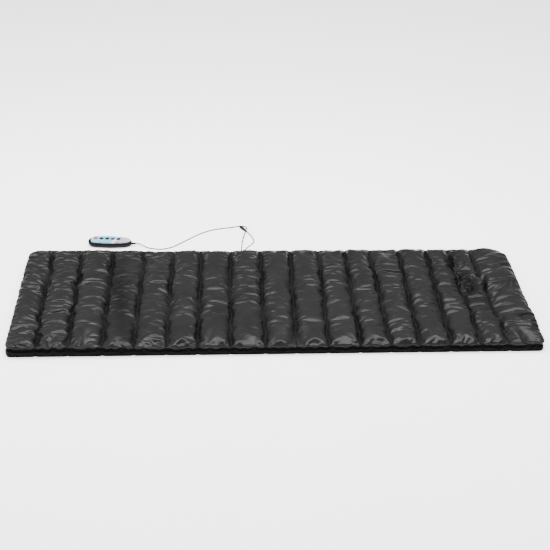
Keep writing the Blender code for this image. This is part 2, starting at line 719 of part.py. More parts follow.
def handset_cord_points():
    """The handset cord's route: off the strain relief, over the socket's tail, to the outlet."""
    turn = Matrix.Rotation(HANDSET_TURN, 4, "Z")
    place = Vector((HANDSET_X, HALF_WIDTH + HANDSET_STANDOFF, 0))
    start = HANDSET_LENGTH / 2 + RELIEF_LENGTH + GAP
    leaving = [place + turn @ Vector((start + step, 0, RELIEF_HEIGHT)) for step in (0, LEVEL_END)]
    low = CORD_RADIUS + ON_FLOOR
    floor = [(-444, 364), (-430, 357), (-412, 352), (-397, 350.5), (-382, 352), (-352, 365), (-322, 392)]
    floor += [(-292, 420.5), (-261, 450.5), (-230, 473.5), (-200, 489), (-166, 499), (-140, 504)]
    floor += [(-118, 510.5), (-101, 515)]
    turning = [(-88, 512.5, 0.3), (-79, 503, 2.6), (-76.3, 490, 6.6), (-78.6, 475, 8.7), (-82.5, 461, 6.6)]
    turning += [(-87, 445, 2.4), (-91.5, 425, 0.1)]
    back = [(-95.5, 400), (-97.5, 374), (-99.5, 351), (-102, 335)]
    points = leaving + [Vector((x * MM, y * MM, low)) for x, y in floor]
    points += [Vector((x * MM, y * MM, low + lift * MM)) for x, y, lift in turning]
    points += [Vector((x * MM, y * MM, low)) for x, y in back]
    collar_x, end = collar_places()[0][0], collar_end() + GAP
    points += [Vector((collar_x, end + LEVEL_END, OUTLET_HEIGHT)), Vector((collar_x, end, OUTLET_HEIGHT))]
    return points


def power_lead_points():
    """The power lead's route: off the outlet, along the floor and up into the socket's tail."""
    collar_x, end = collar_places()[1][0], collar_end() + GAP
    points = [Vector((collar_x, end, OUTLET_HEIGHT)), Vector((collar_x, end + LEVEL_END, OUTLET_HEIGHT))]
    low = LEAD_RADIUS + ON_FLOOR
    floor = [(-90.5, 334), (-86, 345), (-78, 359), (-69, 372), (-60, 384)]
    floor += [(-54.5, 396), (-53, 410), (-56, 426)]
    points += [Vector((x * MM, y * MM, low)) for x, y in floor]
    points.append(Vector((-60 * MM, 439 * MM, low + 1.2 * MM)))
    along = Vector((math.cos(SOCKET_HEADING), math.sin(SOCKET_HEADING), 0))
    tail = Vector((*SOCKET_PLACE, SOCKET_RADIUS)) - along * (SOCKET_BODY / 2 + SOCKET_TAIL + GAP)
    return points + [tail - along * LEVEL_END, tail]


def smooth_route(points, spacing):
    """Points about spacing apart along the smooth curve through the route's own points."""
    fine = []
    padded = [2 * points[0] - points[1], *points, 2 * points[-1] - points[-2]]
    for before, start, end, after in zip(padded, padded[1:], padded[2:], padded[3:]):
        for k in range(24):
            t = k / 24
            fine.append(
                0.5
                * (
                    2 * start
                    + (end - before) * t
                    + (2 * before - 5 * start + 4 * end - after) * t**2
                    + (3 * start - before - 3 * end + after) * t**3
                )
            )
    fine.append(points[-1])
    lengths = [0.0]
    for one, two in zip(fine, fine[1:]):
        lengths.append(lengths[-1] + (two - one).length)
    count = max(2, round(lengths[-1] / spacing))
    route, k = [], 0
    for step in range(count + 1):
        wanted = lengths[-1] * step / count
        while k < len(fine) - 2 and lengths[k + 1] < wanted:
            k += 1
        share = (wanted - lengths[k]) / (lengths[k + 1] - lengths[k])
        route.append(fine[k].lerp(fine[k + 1], share))
    return route


def make_cord(name, points, radius, spacing, rubber):
    """A cord as a round tube along its route."""
    route = smooth_route(points, spacing)
    curve = bpy.data.curves.new(name, "CURVE")
    curve.dimensions = "3D"
    curve.bevel_depth = radius
    curve.bevel_resolution = 2
    curve.use_fill_caps = True
    spline = curve.splines.new("POLY")
    spline.points.add(len(route) - 1)
    for place, point in zip(spline.points, route):
        place.co = (*point, 1)
    curve.materials.append(rubber)
    obj = bpy.data.objects.new(name, curve)
    bpy.context.scene.collection.objects.link(obj)


def make_socket(rubber, steel):
    """The power socket that ends the lead: a body with a tapered tail, a contact sleeve and a pin."""
    origin = bpy.data.objects.new("socket_place", None)
    bpy.context.scene.collection.objects.link(origin)
    origin.location = (*SOCKET_PLACE, SOCKET_RADIUS + ON_FLOOR)
    origin.rotation_euler = (0, math.pi / 2, SOCKET_HEADING)
    mouth = SOCKET_BODY / 2
    floor = mouth - SOCKET_DEPTH
    tip = LEAD_RADIUS + 0.6 * MM
    profile = [(0, -mouth - SOCKET_TAIL), (tip, -mouth - SOCKET_TAIL), (tip + 0.9 * MM, -mouth - 2 * MM)]
    profile += [(SOCKET_RADIUS - 0.6 * MM, -mouth), (SOCKET_RADIUS, -mouth + 3 * MM), (SOCKET_RADIUS, mouth)]
    profile += [(SOCKET_BORE, mouth), (SOCKET_BORE, floor), (0, floor)]
    round_shading(new_object("socket_body", turned_mesh(profile, 16), rubber, origin))
    outer, low, high = SOCKET_BORE - GAP, floor + GAP, mouth - 0.5 * MM
    inner = outer - SLEEVE_WALL
    ring = turned_mesh([(inner, low), (outer, low), (outer, high), (inner, high), (inner, low)], 16)
    round_shading(new_object("socket_sleeve", ring, steel, origin))
    pin = [(0, low), (PIN_RADIUS, low), (PIN_RADIUS, low + PIN_LENGTH - MM)]
    pin.append((PIN_RADIUS / 2, low + PIN_LENGTH))
    pin.append((0, low + PIN_LENGTH))
    round_shading(new_object("socket_pin", turned_mesh(pin, SMALL_SIDES), steel, origin))


# ---------------------------------------------------------------- the whole


def main():
    for obj in list(bpy.data.objects):
        bpy.data.objects.remove(obj)
    cloth = material("satin cover", (0.012, 0.012, 0.012), 0.42)
    lining = material("underside lining", (0.02, 0.02, 0.02), 0.8)
    filling = material("polyester wadding", (0.75, 0.75, 0.73), 0.95)
    foam = material("foam sheet", (0.45, 0.46, 0.48), 0.9)
    pod_plastic = material("pod plastic", (0.05, 0.05, 0.055), 0.5)
    steel = material("steel", (0.6, 0.6, 0.6), 0.3, 1.0)
    brass = material("brass", (0.7, 0.5, 0.2), 0.35, 1.0)
    foil = material("heater film", (0.03, 0.03, 0.03), 0.5)
    tape = material("loom tape", (0.02, 0.02, 0.02), 0.6)
    black = material("handset black", (0.015, 0.015, 0.016), 0.25)
    silver = material("handset silver", (0.62, 0.62, 0.66), 0.3)
    label = material("face print", (0.45, 0.72, 0.82), 0.3)
    silicone = material("keypad silicone", (0.4, 0.4, 0.4), 0.7)
    fibreglass = material("circuit board", (0.02, 0.2, 0.07), 0.5)
    rubber = material("cord rubber", (0.02, 0.02, 0.02), 0.55)
    caps = {
        "power": material("power cap", (0.65, 0.16, 0.3), 0.3),
        "mode": material("mode cap", (0.1, 0.24, 0.4), 0.3),
        "zone": material("zone cap", (0.12, 0.3, 0.3), 0.3),
        "strength": material("strength cap", (0.3, 0.26, 0.38), 0.3),
        "heat": material("heat cap", (0.28, 0.25, 0.36), 0.3),
    }
    make_layers(cloth, lining, filling, foam)
    make_wiring(foil, tape, pod_plastic)
    for section in SECTION_CHANNELS:
        for side, place in zip(("front", "back"), pod_places(section)):
            make_pod(f"pod_{section}_{side}", place, pod_plastic, steel, brass)
    make_outlet(rubber)
    make_handset(black, silver, label, caps, silicone, fibreglass, steel, rubber)
    make_cord("handset_cord", handset_cord_points(), CORD_RADIUS, 9.5 * MM, rubber)
    make_cord("power_lead", power_lead_points(), LEAD_RADIUS, 7.5 * MM, rubber)
    make_socket(rubber, steel)


main()
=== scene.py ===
# %% [markdown]
# # A quilted massage mat with a handset on a cord
#
# The mat is a long stuffed quilt: a satin cover sewn through its filling along sixteen seams, with a
# gathered rim and a plain side band. It folds up at two of those seams. A small control with five
# buttons lies behind it on a thin cord, beside a power socket on a lead of its own. The hard pieces
# come ready made in a frame. This lesson makes everything that is soft, glossy or finely shaped.

# %% Loading the frame
import math

import bmesh
import bpy
import numpy as np
from mathutils import Matrix, Vector, noise


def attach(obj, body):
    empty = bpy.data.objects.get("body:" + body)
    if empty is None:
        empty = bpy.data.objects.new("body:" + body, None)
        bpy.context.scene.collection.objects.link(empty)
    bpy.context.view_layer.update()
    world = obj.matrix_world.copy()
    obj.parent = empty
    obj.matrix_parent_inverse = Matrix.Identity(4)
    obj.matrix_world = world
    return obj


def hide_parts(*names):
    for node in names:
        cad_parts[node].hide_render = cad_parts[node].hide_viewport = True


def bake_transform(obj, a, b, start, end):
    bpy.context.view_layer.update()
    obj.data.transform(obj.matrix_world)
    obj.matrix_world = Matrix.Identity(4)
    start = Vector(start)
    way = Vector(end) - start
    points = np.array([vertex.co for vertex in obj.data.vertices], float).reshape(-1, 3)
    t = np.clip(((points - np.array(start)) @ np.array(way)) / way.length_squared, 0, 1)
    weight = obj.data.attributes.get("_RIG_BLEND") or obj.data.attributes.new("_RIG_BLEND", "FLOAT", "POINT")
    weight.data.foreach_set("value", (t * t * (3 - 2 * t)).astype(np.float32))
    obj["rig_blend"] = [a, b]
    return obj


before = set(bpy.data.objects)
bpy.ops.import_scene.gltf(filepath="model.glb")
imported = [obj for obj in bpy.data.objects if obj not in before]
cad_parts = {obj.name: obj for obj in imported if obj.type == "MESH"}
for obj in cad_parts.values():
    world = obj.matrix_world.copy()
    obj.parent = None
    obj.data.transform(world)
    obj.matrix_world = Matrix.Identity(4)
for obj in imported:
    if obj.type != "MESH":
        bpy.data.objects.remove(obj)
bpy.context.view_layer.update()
MM = 0.001
print("nodes in the frame:", len(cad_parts))

# %% [markdown]
# ## Small helpers
#
# An operator acts on whatever is selected, so each step first selects exactly one object, and then
# picks faces or edges by their place. These few helpers keep that bookkeeping in one spot.

# %% Helpers


def only(obj):
    """Selects obj alone and makes it active."""
    if bpy.context.object and bpy.context.object.mode != "OBJECT":
        bpy.ops.object.mode_set(mode="OBJECT")
    for other in bpy.context.selected_objects:
        other.select_set(False)
    obj.select_set(True)
    bpy.context.view_layer.objects.active = obj


def renamed(name):
    """Names the active object and its data."""
    obj = bpy.context.object
    obj.name = name
    obj.data.name = name
    return obj


def freeze(obj):
    """Applies every modifier and then the object's place, so that its shape lies in its mesh."""
    only(obj)
    for modifier in list(obj.modifiers):
        bpy.ops.object.modifier_apply(modifier=modifier.name)
    bpy.ops.object.transform_apply(location=True, rotation=True, scale=True)


def pick(obj, kind, rule):
    """Enters edit mode with just the faces, edges or vertices selected whose centre passes the rule."""
    only(obj)
    bpy.ops.object.mode_set(mode="EDIT")
    bpy.ops.mesh.select_mode(type=kind)
    bm = bmesh.from_edit_mesh(obj.data)
    for item in (*bm.verts, *bm.edges, *bm.faces):
        item.select_set(False)
    items = {"VERT": bm.verts, "EDGE": bm.edges, "FACE": bm.faces}[kind]
    for item in items:
        if kind == "VERT":
            centre = item.co
        elif kind == "EDGE":
            centre = (item.verts[0].co + item.verts[1].co) / 2
        else:
            centre = item.calc_center_median()
        if rule(centre, item):
            item.select_set(True)
    bm.select_flush_mode()
    bmesh.update_edit_mesh(obj.data)


def points_of(mesh):
    """A mesh's points as an array with one row each."""
    flat = np.zeros(len(mesh.vertices) * 3)
    mesh.vertices.foreach_get("co", flat)
    return flat.reshape(-1, 3)


def set_points(mesh, points):
    """Moves a mesh's points to these places."""
    mesh.vertices.foreach_set("co", np.asarray(points, dtype=np.float32).ravel())
    mesh.update()


def smooth_step(values):
    """Runs from 0 to 1 with a soft start and a soft end."""
    held = np.clip(values, 0, 1)
    return held * held * (3 - 2 * held)


# %% [markdown]
# ## Where we stand, and the light
#
# The view looks down on the mat's long front side from about two metres up. A wide soft lamp hangs
# above, as in a packshot studio: black satin has almost no colour of its own, so what we see of it
# is mostly the lamp's reflection along each fold. Two weaker lamps lift the front rim and the left end.

# %% Camera
VIEW_PLACE = Vector((-0.2127, -2.9405, 1.9866))
VIEW_TURN = math.radians(4.14)
VIEW_DOWN = math.radians(32.47)
VIEW_TILT = math.radians(1.79)

bpy.ops.object.camera_add(location=VIEW_PLACE)
camera = renamed("camera")
camera.data.lens = 69
camera.data.sensor_width = 36
turned = Matrix.Rotation(-VIEW_TURN, 4, "Z") @ Matrix.Rotation(math.pi / 2 - VIEW_DOWN, 4, "X")
camera.matrix_world = Matrix.Translation(VIEW_PLACE) @ turned @ Matrix.Rotation(VIEW_TILT, 4, "Z")
bpy.context.scene.camera = camera
print("camera at", tuple(round(v, 2) for v in camera.location))


# %% Floor and lamps
def lamp(name, place, target, size, power):
    """A rectangular soft lamp that faces its target."""
    bpy.ops.object.light_add(type="AREA", location=place)
    made = renamed(name)
    made.data.shape = "RECTANGLE"
    made.data.size, made.data.size_y = size
    made.data.energy = power
    made.rotation_euler = (Vector(target) - Vector(place)).to_track_quat("-Z", "Y").to_euler()
    print(name, "has", power, "watts")


ROOM_LIGHT = 0.85
FLOOR_SIZE = 14
BELOW_MAT = 0.5 * MM
lamp("overhead_lamp", (0, 0.5, 2.4), (0, 0, 0), (3.4, 1.2), 190)
lamp("front_lamp", (0.2, -3.0, 1.7), (0, -0.2, 0), (3.2, 0.5), 38)
lamp("side_lamp", (-2.6, 0.4, 1.4), (-0.4, 0, 0), (0.8, 1.4), 40)

bpy.ops.mesh.primitive_plane_add(size=FLOOR_SIZE, location=(0, 0, -BELOW_MAT))
floor = renamed("studio_floor")
world = bpy.data.worlds.new("studio")
bpy.context.scene.world = world
world.use_nodes = True
background = world.node_tree.nodes["Background"]
background.inputs["Color"].default_value = (1, 1, 1, 1)
background.inputs["Strength"].default_value = ROOM_LIGHT

# %% [markdown]
# ## The two cords
#
# A free cord keeps its length and lies where it was put down. Each one here is a curve with a round
# bevel. Its route is a short list of points along the floor, smoothed by a curve that passes through
# all of them, with a straight stretch where it leaves its strain relief. The handset's cord rises in a
# low hump where it crosses the socket's tail.

# %% Routes
CORD_RADIUS = 1.8 * MM
LEAD_RADIUS = 1.6 * MM
LEVEL_END = 9 * MM
ON_FLOOR = 0.1 * MM
OUTLET_HEIGHT = 9.1 * MM
COLLAR_END = 298.6 * MM
CORD_EXIT_X = -104.5 * MM
LEAD_EXIT_X = -95.5 * MM
HANDSET_PLACE = Vector((-577.5 * MM, 385.5 * MM, 0))
HANDSET_TURN = math.radians(-4)
SOCKET_PLACE = Vector((-92.3 * MM, 493.3 * MM, 4.9 * MM))
SOCKET_HEADING = math.radians(122)
RELIEF_TIP = 96.3 * MM
RELIEF_HEIGHT = 9 * MM
SOCKET_TAIL = 31.3 * MM
TAIL_HEIGHT = 4.8 * MM


def in_millimetres(points, low):
    """Floor points (x, y) or (x, y, lift) in millimetres, at a cord's height."""
    return [Vector((p[0] * MM, p[1] * MM, low + (p[2] * MM if len(p) > 2 else 0))) for p in points]


def from_collar(x):
    """The straight stretch of a cord at its collar in the mat's back edge."""
    return [Vector((x, COLLAR_END, OUTLET_HEIGHT)), Vector((x, COLLAR_END + LEVEL_END, OUTLET_HEIGHT))]


def handset_cord_route():
    """From the handset's strain relief, round over the socket's tail, to the mat's back edge."""
    turn = Matrix.Rotation(HANDSET_TURN, 4, "Z")
    low = CORD_RADIUS + ON_FLOOR
    leaving = [Vector((RELIEF_TIP + run, 0, RELIEF_HEIGHT)) for run in (0, LEVEL_END)]
    leaving = [HANDSET_PLACE + turn @ point for point in leaving]
    out = [(-444, 364), (-430, 357), (-412, 352), (-397, 350.5), (-382, 352), (-352, 365), (-322, 392)]
    out += [(-292, 420.5), (-261, 450.5), (-230, 473.5), (-200, 489), (-166, 499), (-140, 504)]
    out += [(-118, 510.5), (-101, 515)]
    over = [(-88, 512.5, 0.3), (-79, 503, 2.6), (-76.3, 490, 6.6), (-78.6, 475, 8.7), (-82.5, 461, 6.6)]
    over += [(-87, 445, 2.4), (-91.5, 425, 0.1)]
    back = [(-95.5, 400), (-97.5, 374), (-99.5, 351), (-102, 335)]
    return leaving + in_millimetres(out + over + back, low) + from_collar(CORD_EXIT_X)[::-1]


def power_lead_route():
    """From the mat's back edge to the socket's tail."""
    low = LEAD_RADIUS + ON_FLOOR
    along = Vector((math.cos(SOCKET_HEADING), math.sin(SOCKET_HEADING), 0))
    tail = SOCKET_PLACE - along * SOCKET_TAIL
    tail.z = TAIL_HEIGHT
    out = [(-90.5, 334), (-86, 345), (-78, 359), (-69, 372), (-60, 384), (-54.5, 396), (-53, 410)]
    out += [(-56, 426), (-60, 439, 1.2)]
    return from_collar(LEAD_EXIT_X) + in_millimetres(out, low) + [tail - along * LEVEL_END, tail]


# %% Making a cord
STEPS_PER_SPAN = 24
CORD_SPACING = 4 * MM


def through(points, spacing):
    """Evenly spaced points on the smooth curve through the route's own points."""
    padded = [2 * points[0] - points[1], *points, 2 * points[-1] - points[-2]]
    fine = []
    for a, b, c, d in zip(padded, padded[1:], padded[2:], padded[3:]):
        slope = c - a
        bend = 2 * a - 5 * b + 4 * c - d
        twist = 3 * b - a - 3 * c + d
        for k in range(STEPS_PER_SPAN):
            t = k / STEPS_PER_SPAN
            fine.append(0.5 * (2 * b + slope * t + bend * t**2 + twist * t**3))
    fine.append(points[-1])
    run = np.concatenate(([0], np.cumsum([(q - p).length for p, q in zip(fine, fine[1:])])))
    wanted = np.linspace(0, run[-1], max(2, round(run[-1] / spacing)) + 1)
    table = np.array(fine)
    return np.stack([np.interp(wanted, run, table[:, k]) for k in range(3)], axis=1), float(run[-1])


def lay_cord(name, route, radius, node):
    """A round cord along its route, riding with the waist section; its length is printed."""
    places, length = through(route, CORD_SPACING)
    curve = bpy.data.curves.new(name, "CURVE")
    curve.dimensions = "3D"
    curve.bevel_depth = radius
    curve.bevel_resolution = 4
    curve.use_fill_caps = True
    spline = curve.splines.new("POLY")
    spline.points.add(len(places) - 1)
    for point, place in zip(spline.points, places):
        point.co = (*place, 1)
    spline.use_smooth = True
    obj = bpy.data.objects.new(name, curve)
    bpy.context.scene.collection.objects.link(obj)
    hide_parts(node)
    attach(obj, "waist")
    print(name, "is", round(length, 3), "m long")
    return obj


handset_cord = lay_cord("control_cord", handset_cord_route(), CORD_RADIUS, "handset_cord")
power_lead = lay_cord(
    "socket_lead", power_lead_route(), LEAD_RADIUS, "power_lead"
)

# %% [markdown]
# ## The quilt
#
# A filled quilt is hard to draw and easy to sew. So we sew it: a flat grid stands for the cover, the
# seams and the rim are pinned down where the needle goes through, and the cloth between them is cut a
# little too large, as a sewing machine gathers it. Then the cloth simulation lets the spare cloth
# buckle. A weak pull of every point towards the stuffed shape stands for the wadding, and keeps the folds
# small.
#
# First the plan: where the seams run, how the corners are rounded, and how high each place is stuffed.

# %% Sizes of the quilt
LENGTH = 1.700
WIDTH = 0.580
CHANNELS = 17
PITCH = LENGTH / CHANNELS
COLUMNS_PER_CHANNEL = 22
ROWS = 140
BAND_ROWS = 7
SEAM_LEVEL = 20 * MM
RIM_LEVEL = 29 * MM
CROWN_LEVEL = 39 * MM
FRONT_CORNER = 18 * MM
BACK_CORNER = {"left": 44 * MM, "right": 66 * MM}
SHOULDER_REACH = 38 * MM


def rounded(distance, radius):
    """How far a corner of this radius pulls the outline in, at a distance from the mat's end."""
    inside = np.clip(radius - distance, 0, radius)
    return radius - np.sqrt(radius**2 - inside**2)


def outline_at(x):
    """(Front, back) of the mat's outline at x."""
    from_end = LENGTH / 2 - np.abs(x)
    front = WIDTH / 2 - rounded(from_end, FRONT_CORNER)
    corner = np.where(x < 0, BACK_CORNER["left"], BACK_CORNER["right"])
    return -front, WIDTH / 2 - rounded(from_end, corner)


# How far each seam strays along the mat, in millimetres, at the front edge and at the back edge.
FRONT_LEAN = (-8, -8, -1, -5, -3, -4, -1, 5, 5, 6, 7, 4, -4, -3, -7, -17)
BACK_LEAN = (-16, -14, -5, 4, 4, 3, 8, 16, 22, 24, 18, 7, 11, 13, -8, -31)


def seam_lean(x, across):
    """Seams are sewn by hand: each one strays by some millimetres, more at its back end."""
    seams = np.arange(CHANNELS + 1) * PITCH - LENGTH / 2
    front = np.interp(x, seams, np.array((0, *FRONT_LEAN, 0)) * MM)
    back = np.interp(x, seams, np.array((0, *BACK_LEAN, 0)) * MM)
    return front + (back - front) * across


# %% [markdown]
# The grid comes from a plain primitive, and its border is extruded down in rows for the side band.

# %% The flat cover
bpy.ops.mesh.primitive_grid_add(
    x_subdivisions=CHANNELS * COLUMNS_PER_CHANNEL, y_subdivisions=ROWS, size=1, location=(0, 0, 0)
)
cover = renamed("quilt_cover")
pick(cover, "EDGE", lambda centre, edge: edge.is_boundary)
for _ in range(BAND_ROWS):
    bpy.ops.mesh.extrude_region_move(TRANSFORM_OT_translate={"value": (0, 0, -1 / BAND_ROWS)})
bpy.ops.object.mode_set(mode="OBJECT")
flat = points_of(cover.data)
is_top = flat[:, 2] > -0.5 / BAND_ROWS
FULLY_DOWN = 0.999
on_floor_line = flat[:, 2] < -FULLY_DOWN
print("cover points:", len(flat), "of which on top:", int(is_top.sum()))


# %% Noise and bumps
def wobble(x, y, scale_x, scale_y, seed):
    """Smooth noise, from about -0.5 to 0.5, the same on each run."""
    return np.array([noise.noise(Vector((a * scale_x, b * scale_y, seed))) for a, b in zip(x, y)])


def bulge(x, y, centre, reach, lean):
    """A smooth bump, 1 at its centre, that leans as it goes back."""
    side = x - centre[0] - lean * (y - centre[1])
    return np.exp(-((side / reach[0]) ** 2) - ((y - centre[1]) / reach[1]) ** 2)


# %% Where each point lies
plan_x = flat[:, 0] * LENGTH
across = flat[:, 1] + 0.5
front_y, back_y = outline_at(plan_x)
plan_y = front_y + (back_y - front_y) * across
from_start = (plan_x + LENGTH / 2) / PITCH
seam_number = np.round(from_start)
is_inner_seam = (seam_number > 0.5) & (seam_number < CHANNELS - 0.5)
from_seam = np.where(is_inner_seam, np.abs(from_start - seam_number) * 2, 1)
from_rim = np.minimum(np.minimum(plan_y - front_y, back_y - plan_y), LENGTH / 2 - np.abs(plan_x))
on_seam = is_top & is_inner_seam & (from_seam < 0.01)
on_rim = is_top & (from_rim < 0.01 * MM)
print("points on seams:", int(on_seam.sum()), "and on the rim:", int(on_rim.sum()))

# %% [markdown]
# A used mat isn't creased evenly: most creases lie along its middle and toward both ends, and one channel
# is smooth. The channel near the left end that has lost filling lies slack, and later gets painted shade.
# Near the right end the filling has parted and left a hollow, which gets painted shade too, and beside it
# the cloth is caught in a small dimple.

# %% Worn, hollow and slack places
HOLLOW_DEPTH = 17 * MM
DIMPLE_DEPTH = 9 * MM
SLACK_DEPTH = 7 * MM
HOLLOW_PLACE = (0.668, 0.090)
DIMPLE_PLACE = (0.815, -0.160)
SLACK_PLACE = (-0.512, 0.0)
SMOOTH_PLACE = (-0.49, 0.0)
middle_band = np.exp(-(((plan_y - 0.06) / 0.11) ** 2))
patches = np.clip(wobble(plan_x, plan_y, 6, 9, 21) * 2.6 - 0.1, 0, 1) * (0.35 + 0.65 * middle_band)
patches += 0.5 * middle_band * np.clip(wobble(plan_x, plan_y, 9, 5, 41) * 3, 0, 1)
left_end = np.exp(-(((plan_x + 0.72) / 0.14) ** 2))
right_end = np.exp(-(((plan_x - 0.80) / 0.06) ** 2))
patches += 0.42 * left_end + 0.3 * right_end
patches *= 1 - 0.7 * bulge(plan_x, plan_y, SMOOTH_PLACE, (0.045, 0.3), 0)
patches = np.clip(patches, 0, 1)
hollow = bulge(plan_x, plan_y, HOLLOW_PLACE, (0.043, 0.150), -0.17)
dimple = bulge(plan_x, plan_y, DIMPLE_PLACE, (0.017, 0.020), 0)
slack = bulge(plan_x, plan_y, SLACK_PLACE, (0.034, 0.24), -0.10)
print("share of the top that is creased:", round(float(patches[is_top].mean()), 2))

# %% [markdown]
# Across a channel the filling pushes the cloth up like a pillow, nearly flat on top and steep at its
# seams. Toward the outline the height runs down a round shoulder to the rim, and the band hangs below.

# %% The stuffed shape
LEFT_RISE = 7 * MM
RIM_SLOPE = 50 * MM
SEAM_BELOW_RIM = 4 * MM
fullness = 5.0 + 4.0 * wobble(plan_x, plan_y, 11, 9, 61)
pillow = 1 - (1 - np.clip(from_seam, 0, 1)) ** fullness
shoulder = np.clip(from_rim / SHOULDER_REACH, 0, 1)
shoulder = np.sqrt(1 - (1 - shoulder) ** 2)
rim_level = RIM_LEVEL + LEFT_RISE * smooth_step((-0.35 - plan_x) / 0.3)
seam_level = SEAM_LEVEL + 5 * MM * wobble(plan_x, plan_y, 9, 12, 51)
near_rim = (1 - np.clip(from_rim / RIM_SLOPE, 0, 1)) ** 1.5
seam_level = seam_level + (rim_level - SEAM_BELOW_RIM - SEAM_LEVEL) * near_rim
filling = CROWN_LEVEL + 7 * MM * wobble(plan_x, plan_y, 9, 7, 5)
filling -= HOLLOW_DEPTH * hollow + DIMPLE_DEPTH * dimple + SLACK_DEPTH * slack
stuffed = seam_level + (filling - seam_level) * pillow
height = rim_level + (stuffed - rim_level) * shoulder
height = np.where(on_seam, np.minimum(seam_level, height), height)

# %% [markdown]
# Cloth buckles where something starts a fold, so the stuffed shape gets a little unevenness first: long
# waves across the channels, a ragged hollow, and a rim that goes up and down between its gathers.

# %% Starting the folds
GATHER = 5 * MM
BAND_TUCK = 5 * MM
SEAM_STRAY = 5 * MM
creased = 0.12 + 0.88 * patches
broad_waves = 7 * MM * wobble(plan_x, plan_y, 13, 52, 3)
small_waves = 2 * MM * wobble(plan_x, plan_y, 30, 110, 9)
start_noise = creased * (broad_waves + small_waves)
start_noise += 9 * MM * hollow * wobble(plan_x, plan_y, 40, 34, 31)
height += start_noise * pillow * shoulder
gather = rim_level + GATHER * wobble(plan_x, plan_y, 42, 42, 1)
height = np.where(on_rim, gather, height)
height = np.where(is_top, height, gather * (1 + flat[:, 2]))
down = np.where(is_top, 0, -flat[:, 2])
tuck = BAND_TUCK * np.exp(-(((down - 0.22) / 0.13) ** 2)) * (down > 0)
seam_groove = np.exp(-((from_start - seam_number) * PITCH / (4 * MM)) ** 2) * is_inner_seam * (down > 0)
tuck += 3 * MM * seam_groove * np.sin(math.pi * np.clip(down, 0, 1))
inward = np.clip(np.stack([plan_x / (LENGTH / 2), plan_y / (WIDTH / 2)], axis=1), -1, 1) ** 15
stray = SEAM_STRAY * wobble(seam_number * 3.7, plan_y, 1, 21, 71) * (1 - np.clip(from_seam, 0, 1))
plan = np.stack([plan_x + seam_lean(plan_x, across) + stray, plan_y], axis=1) - tuck[:, None] * inward
set_points(cover.data, np.concatenate([plan, height[:, None]], axis=1))
print("stuffed height:", round(float(height.max()) / MM, 1), "mm")

# %% [markdown]
# Now the sewing. One vertex group holds the pins: full weight on the seams, the rim, the floor line and
# the band's seams, and a weak one elsewhere, which is the wadding's hold. A second group says how exactly
# the cloth is cut: the lower its weight, the more spare cloth there is. Most of it lies at the gathered
# rim, in the worn patches and round the dimple, and some beside every seam.

# %% Pins and spare cloth
WEIGHT_STEPS = 200
MOST_SPARE = 0.18
WADDING_PULL = 0.02


def weigh(obj, name, weights):
    """A vertex group with these weights, in equal steps."""
    group = obj.vertex_groups.new(name=name)
    steps = np.round(np.clip(weights, 0, 1) * WEIGHT_STEPS).astype(int)
    for step in np.unique(steps):
        group.add([int(i) for i in np.where(steps == step)[0]], step / WEIGHT_STEPS, "REPLACE")
    print(name, "has", len(np.unique(steps)), "different weights")


pinned = on_seam | on_rim | on_floor_line | ((down > 0) & (seam_groove > 0.9))
beside_seam = (1 - np.clip(from_seam, 0, 1)) ** 1.5
spare = 0.004 + (0.02 + 0.05 * patches) * beside_seam + 0.09 * patches + 0.08 * hollow
spare += 0.12 * bulge(plan_x, plan_y, DIMPLE_PLACE, (0.04, 0.045), 0)
spare += (0.05 + 0.03 * patches) * np.clip(1 - from_rim / (34 * MM), 0, 1)
spare = np.where(is_top, spare, 0.05)
weigh(cover, "pins", np.where(pinned, 1, WADDING_PULL))
weigh(cover, "exact", 1 - spare / MOST_SPARE)

# %% Letting the cloth buckle
SETTLE_FRAMES = 22


def sew(obj, frames):
    """Runs the cloth simulation and keeps its last shape."""
    cloth = obj.modifiers.new("cloth", "CLOTH")
    settings = cloth.settings
    settings.quality = 5
    settings.mass = 0.3
    settings.tension_stiffness = 15
    settings.compression_stiffness = 15
    settings.shear_stiffness = 5
    settings.bending_stiffness = 0.35
    settings.air_damping = 1
    settings.vertex_group_mass = "pins"
    settings.pin_stiffness = 1
    settings.use_pressure = True
    settings.uniform_pressure_force = 1.8
    settings.vertex_group_shrink = "exact"
    settings.shrink_max = 0
    settings.shrink_min = -MOST_SPARE
    settings.effector_weights.gravity = 0
    cloth.collision_settings.use_collision = False
    cloth.point_cache.frame_end = frames
    for number in range(1, frames + 1):
        bpy.context.scene.frame_set(number)
    only(obj)
    bpy.ops.object.modifier_apply(modifier=cloth.name)
    bpy.context.scene.frame_set(1)


sew(cover, SETTLE_FRAMES)
sewn = points_of(cover.data)
print("crown height:", round(float(sewn[is_top, 2].max()) / MM, 1), "mm")

# %% [markdown]
# Filling swells the cloth only so far, so the tallest places are eased down with a soft limit. The band's
# lower edge is put back on the floor line, where it rises a little at the end of every seam.

# %% Easing the crowns
SOFT_FROM = 40 * MM
SOFT_ROOM = 9 * MM
FLOOR_LINE = 0.4 * MM
GROOVE = 2.4 * MM
above = np.clip(sewn[:, 2] - SOFT_FROM, 0, None)
sewn[:, 2] -= above - SOFT_ROOM * np.tanh(above / SOFT_ROOM)
on_floor = FLOOR_LINE + GROOVE * seam_groove
sewn[:, 2] = np.where(on_floor_line, on_floor, np.maximum(sewn[:, 2], FLOOR_LINE))
set_points(cover.data, sewn)
print("after easing:", round(float(sewn[:, 2].max()) / MM, 1), "mm")
